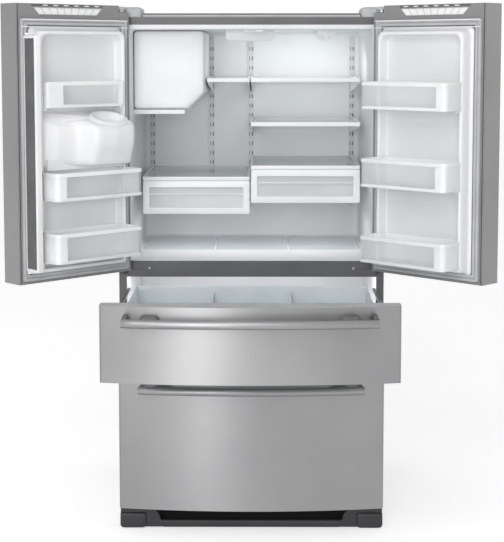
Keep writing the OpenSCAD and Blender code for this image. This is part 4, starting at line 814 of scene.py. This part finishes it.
# Radius of the edges, and the finish where it isn't that of the solid
EDGES = {
    "shelf_frames": (1.2, None), "ice_housing": (1.4, None), "control_housing": (2.0, None),
    "filter_cap": (1.5, None), "pantry_bin": (1.0, "pan_styrene"), "freezer_bin": (1.0, None),
    "pantry_handle": (2.0, None), "freezer_handle": (2.0, None),
    "left_door_handle": (2.0, None), "right_door_handle": (2.0, None),
    "mullion": (1.0, "door_styrene"), "left_door_gasket": (1.2, None),
    "right_door_gasket": (1.2, None), "pantry_gasket": (1.2, None),
    "freezer_gasket": (1.2, None),
}


def door_bins():
    """The five bins of full depth, and the slim one that clears the ice housing."""
    x0, x1 = BIN_WINDOW_SPAN
    y0, y1 = BIN_WINDOW_DEPTHS
    for name, (foot, top) in BINS.items():
        window = ((x0, y0, foot + BIN_SILL), (x1, y1, top - BIN_HEAD))
        moulded(name, 1.1, name.split("_")[0], [window])
    moulded("left_bin_upper", 1.0, "left", [UPPER_BIN_WINDOW])


def deli_drawer(side):
    """A drawer with a window in its front, and the bar to pull it by."""
    x0, x1, top = DELI_DRAWERS[side]
    near, far = DELI_WINDOW_DEPTHS
    low, high = (top - drop for drop in DELI_WINDOW_DROPS)
    window = ((x0 + DELI_FRAME, near, low), (x1 - DELI_FRAME, far, high))
    moulded("deli_drawer_" + side, 1.2, windows=[window])
    pull = boxes([(x0 + DELI_PULL_INSET, x1 - DELI_PULL_INSET, *DELI_PULL_DEPTHS,
                   *(top - drop for drop in DELI_PULL_DROPS))])
    dressed("deli_pull_" + side, pull, "deli_" + side, "shelf_white", edge=1.0)


door_bins()
for side in ("left", "right"):
    deli_drawer(side)
for name, (radius, look) in EDGES.items():
    moulded(name, radius, look=look)


# Outside of the cabinet

COVER_MIDDLE = (410.5, 64)
COVER_HALF = (42, 62)
COVER_RADII = [9, 14, 10, 9]
COVER_EDGE = [(0, 1749.1), (0, 1768), (1, 1772.5), (3, 1776.5), (6, 1779.6), (11, 1781.6),
              (18, 1782)]  # inset, height
NOSE_HALF = 15
NOSE_FRONT, NOSE_BACK = -50, 20
NOSE_TIP = 14.5  # radius
NOSE_EDGE = [(0, 1769.8), (0, 1775), (1.5, 1779), (5, 1781.4), (10, 1781.9)]

PLINTH_BAR = [(-48, 2), (-48, 27), (-34, 27), (-34, 2)]  # its section: y, z
PLINTH_BAR_END = 302
FOOT_COVER = (361, 451.5, 1.2, 53)  # x0, x1, z0, z1 on the right
FOOT_EDGE = [(0, -1), (0, -44), (1.5, -48.5), (5, -51.2), (9, -52)]  # inset, depth
FOOT_CAP = (362, 450, -44, -1, 50, 73)
SWEEP = (50, 46)  # width and height of the curve from the bar up to the foot cover
SWEEP_START = (313, 26)
SWEEP_SIDES = (299, 364)
SWEEP_FOOT = 2
SWEEP_DEPTHS = (-44, -6)
PLINTH_GAP = (-360, 360, -8, -0.6, 9.4, 73)
GAP_SLATS = [(-330, 330, -12, -7.5, z, z + 4) for z in range(30, 66, 9)]

TOP_TRIM = (-366, 366, 4, 40, 1748.8, 1756)
TOP_RAIL = (-366, 366, 12, 34, 1755.8, 1761)
SCREW_PLACES = (-348, 348)
SCREW_LEVEL = 895
SCREW_HEAD = [(4.5, 0), (4.5, -1.2), (3.6, -2.2), (1.8, -2.6)]  # radius, depth


def hinge_covers():
    """The two covers on the cabinet's top: a crowned cap, and a nose over the hinge pin."""
    covers = bmesh.new()
    half_x, half_y = COVER_HALF
    for side in (-1, 1):
        x, y = side * COVER_MIDDLE[0], COVER_MIDDLE[1]
        outer, inner = x + side * half_x, x - side * half_x
        plan = rounded([(outer, y - half_y), (inner, y - half_y), (inner, y + half_y),
                        (outer, y + half_y)], COVER_RADII, 5)
        loft(covers, [[(x + (u - x) * (half_x - inset) / half_x,
                        y + (v - y) * (half_y - inset) / half_y, z) for u, v in plan]
                      for inset, z in COVER_EDGE])
        rings = []
        for inset, z in NOSE_EDGE:
            left = -side * HINGE.x - NOSE_HALF + inset
            right = -side * HINGE.x + NOSE_HALF - inset
            tip = NOSE_TIP - inset
            rings.append(lying(rounded(
                [(left, NOSE_FRONT + inset), (right, NOSE_FRONT + inset), (right, NOSE_BACK),
                 (left, NOSE_BACK)], [tip, tip, 2, 2], 6), z))
        loft(covers, rings)
    dressed("hinge_covers_moulded", covers, "cabinet", "grey_plastic", look="cover_plastic",
            replaces=("hinge_covers",), crease=40)


def plinth():
    """The sloped bar along the floor, the foot covers, and the curved sweeps between them."""
    shape = bmesh.new()
    prism(shape, rounded(PLINTH_BAR, [3, 6, 2, 2]), -PLINTH_BAR_END, PLINTH_BAR_END, "x")
    inner, outer, foot, top = FOOT_COVER
    near, far = SWEEP_SIDES
    for side in (-1, 1):
        rings = []
        for inset, y in FOOT_EDGE:
            rings.append(standing(rounded(
                [(side * (outer - inset), foot), (side * (inner + inset), foot),
                 (side * (inner + inset), top - inset), (side * (outer - inset), top - inset)],
                [9, 9, 9, 6]), y))
        loft(shape, rings)
        block(shape, *mirrored(FOOT_CAP, side))
        sweep = [(side * (SWEEP_START[0] + SWEEP[0] * (1 - math.cos(math.radians(a)))),
                  SWEEP_START[1] + SWEEP[1] * math.sin(math.radians(a)))
                 for a in range(0, 91, 15)]
        prism(shape, [(side * far, SWEEP_FOOT), (side * near, SWEEP_FOOT),
                      (side * near, SWEEP_START[1])]
              + sweep + [(side * far, SWEEP_START[1] + SWEEP[1])], *SWEEP_DEPTHS, "y")
    dressed("plinth", shape, "cabinet", "black_plastic", look="plinth_plastic_painted_light",
            replaces=("toe_grille",), edge=1.0)


def plinth_gap():
    """A near-black sheet of painted shade in the gap over the plinth's bar, with its slats in the
    same painted shade.
    """
    dressed("plinth_gap", boxes([PLINTH_GAP] + GAP_SLATS), "cabinet", "black_plastic",
            look="gap_painted_shade", edge=0.4)


def top_trim():
    """The folded edge over the cabinet's front, drawn as a pale strip of painted highlight, and
    the dark rail on it.
    """
    dressed("top_trim", boxes([TOP_TRIM]), "cabinet", "frame_paint", look="edge_painted_highlight",
            edge=1.5)
    dressed("top_rail", boxes([TOP_RAIL]), "cabinet", "frame_paint", look="post_shade_and_rail_grey", edge=1.0)


def rail_screws():
    """The two domed screws in the rail between the compartments."""
    screws = lofted(*[[standing(circle(x, SCREW_LEVEL, r, 16), y) for r, y in SCREW_HEAD]
                      for x in SCREW_PLACES])
    dressed("rail_screws", screws, "cabinet", "zinc", crease=30)


# The two wide drawers

POSTS = [(372, 7, 9), (298, 30, 26)]  # middle, half width at the front, half width at the bar
POST_BACK, POST_FRONT = 4, -32  # from the bowed face
POST_RADII = [1, 1, 5, 5]
# Share of the post's rise, share of its widths, and how far its front draws back
POST_LEVELS = [(-0.45, 1, 0), (0.35, 1, 0), (0.7, 0.9, 2), (1, 0.62, 7)]
CAP_HALF, CAP_STEP = 449, 28
CAP_LAP = 2.2  # from the bowed face back to the cap
CAP_BACK = -13
CAP_LEVELS = (877, 878.7)
SLIDE_COVER = (412, 422, -575, -16, 822, 830)
GROOVES = [(x, x + 1.6, -574, -17, 830, 831.2) for x in (413.5, 419)]


def handle_posts(drawer, height, rise, place):
    """The posts between a drawer's front and its bar: a narrow one and a broad one per side, drawn
    dark as painted shade and painted reflection.
    """
    posts = bmesh.new()
    for x, foot, head in POSTS:
        back, front = bow_y(x) + POST_BACK, bow_y(x) + POST_FRONT
        for side in (-1, 1):
            rings = []
            for share, part, lean in POST_LEVELS:
                plan = rounded([(side * (x - foot * part), back), (side * (x + foot * part), back),
                                (side * (x + head * part), front + lean),
                                (side * (x - head * part), front + lean)], POST_RADII)
                rings.append(lying(plan, height + share * rise))
            loft(posts, rings)
    dressed(drawer + "_handle_posts", posts, drawer + "_drawer", "grey_plastic", place,
            look="post_shade_and_rail_grey", crease=50)


def pantry_front_cap():
    """The top edge of the refrigerated drawer's bowed front, drawn as a pale strip of painted
    highlight.
    """
    cap = bmesh.new()
    xs = list(range(-CAP_HALF, CAP_HALF, CAP_STEP))[:-1] + [CAP_HALF]
    bow = [(x, bow_y(x) + CAP_LAP) for x in xs]
    prism(cap, bow + [(CAP_HALF, CAP_BACK), (-CAP_HALF, CAP_BACK)], *CAP_LEVELS)
    dressed("pantry_front_cap", cap, "pantry_drawer", "frame_paint", "pantry",
            look="edge_painted_highlight", edge=0.5)


def slide_covers():
    """The covers over the refrigerated drawer's slides, each with two grooves drawn as dark strips
    of painted shade.
    """
    covers = boxes(mirrored(SLIDE_COVER, side) for side in (-1, 1))
    grooves = boxes(mirrored(groove, side) for side in (-1, 1) for groove in GROOVES)
    dressed("slide_covers", covers, "pantry_drawer", "zinc", edge=1.0)
    dressed("slide_grooves", grooves, "pantry_drawer", "zinc", look="seam_shadow")


# These two sections' pieces, from the top and the foot of the cabinet to its front
hinge_covers()
plinth()
plinth_gap()
handle_posts("pantry", height=835, rise=21, place="pantry")
handle_posts("freezer", height=498, rise=9, place="still")
pantry_front_cap()
slide_covers()
top_trim()
rail_screws()


# Studio: a pale floor, a white surround, a broad soft key and a tall soft box for the steel

FLOOR_SPAN = 30.0
SURROUND_LIGHT = 0.48
FLOOR_GLOW = 0.47


def seen_directly(tree):
    """1 for what the camera, gloss or glass sees, 0 for what lights a surface."""
    path = add(tree, "LightPath")
    seen = path.outputs["Is Camera Ray"]
    for name in ("Is Glossy Ray", "Is Transmission Ray"):
        seen = add(tree, "Math", {0: seen, 1: path.outputs[name]},
                   operation="MAXIMUM").outputs[0]
    return seen


def surround(strength):
    """White to the camera, to gloss and to glass, and a level soft light to everything else."""
    world = bpy.data.worlds.new("studio")
    bpy.context.scene.world = world
    world.use_nodes = True
    tree = world.node_tree
    tree.nodes.clear()
    light = add(tree, "Background", {"Color": (1, 1, 1, 1), "Strength": strength})
    white = add(tree, "Background", {"Color": (1, 1, 1, 1), "Strength": 1.0})
    both = add(tree, "MixShader", {0: seen_directly(tree), 1: light.outputs[0],
                                   2: white.outputs[0]})
    add(tree, "OutputWorld", {"Surface": both.outputs[0]})


def floor(lift):
    """A pale matt floor that keeps the shadow under the cabinet, lifted to white for the
    camera by a little glow of its own."""
    mesh = bpy.data.meshes.new("floor")
    span = FLOOR_SPAN
    mesh.from_pydata([(-span, -span, 0), (span, -span, 0), (span, span, 0), (-span, span, 0)],
                     [], [(0, 1, 2, 3)])
    made = link("floor", mesh)
    paper = finish("white paper floor", "#f3f3f3", "#f7f7f7", 900, 0.9, 0.0)
    tree = paper.node_tree
    shader = tree.nodes["Principled BSDF"]
    glow = add(tree, "Math", {0: seen_directly(tree), 1: lift}, operation="MULTIPLY")
    shader.inputs["Emission Color"].default_value = (1, 1, 1, 1)
    tree.links.new(glow.outputs[0], shader.inputs["Emission Strength"])
    mesh.materials.append(paper)


def lamp(name, place, target, size, power, hidden=False):
    """A soft box at place that faces target; a hidden one lights, but isn't itself seen."""
    data = bpy.data.lights.new(name, "AREA")
    data.shape = "RECTANGLE"
    data.size, data.size_y = size
    data.energy = power
    made = link(name, data)
    made.location = place
    made.rotation_euler = (Vector(target) - Vector(place)).to_track_quat("-Z", "Y").to_euler()
    if hidden:
        made.visible_camera = False
        made.visible_glossy = False
        made.visible_transmission = False


surround(SURROUND_LIGHT)
floor(FLOOR_GLOW)
lamp("key", place=(-1.2, -4.6, 4.4), target=(0, 0, 0.9), size=(3.5, 2.5), power=70)
lamp("front_fill", place=(0.1, -5.4, 1.75), target=(0, 0.3, 1.3), size=(2.2, 1.4), power=52,
     hidden=True)
lamp("steel_box", place=(-1.15, -6.4, 1.75), target=(-0.1, 0, 1.2), size=(1.05, 3.4), power=60)
# Inside: one lamp over the shelves, one under them and one over the refrigerated drawer
lamp("shelf_lamp", place=(0.17, 0.34, 1.66), target=(0.12, 0.5, 1.2), size=(0.36, 0.2),
     power=0.85, hidden=True)
lamp("low_lamp", place=(0, 0.23, 1.056), target=(0, 0.23, 0.92), size=(0.76, 0.3), power=0.62,
     hidden=True)
lamp("drawer_lamp", place=(0, 0.03, 0.862), target=(0, 0.55, 0.74), size=(0.8, 0.04),
     power=2.2, hidden=True)

bpy.context.scene.view_settings.view_transform = "Standard"
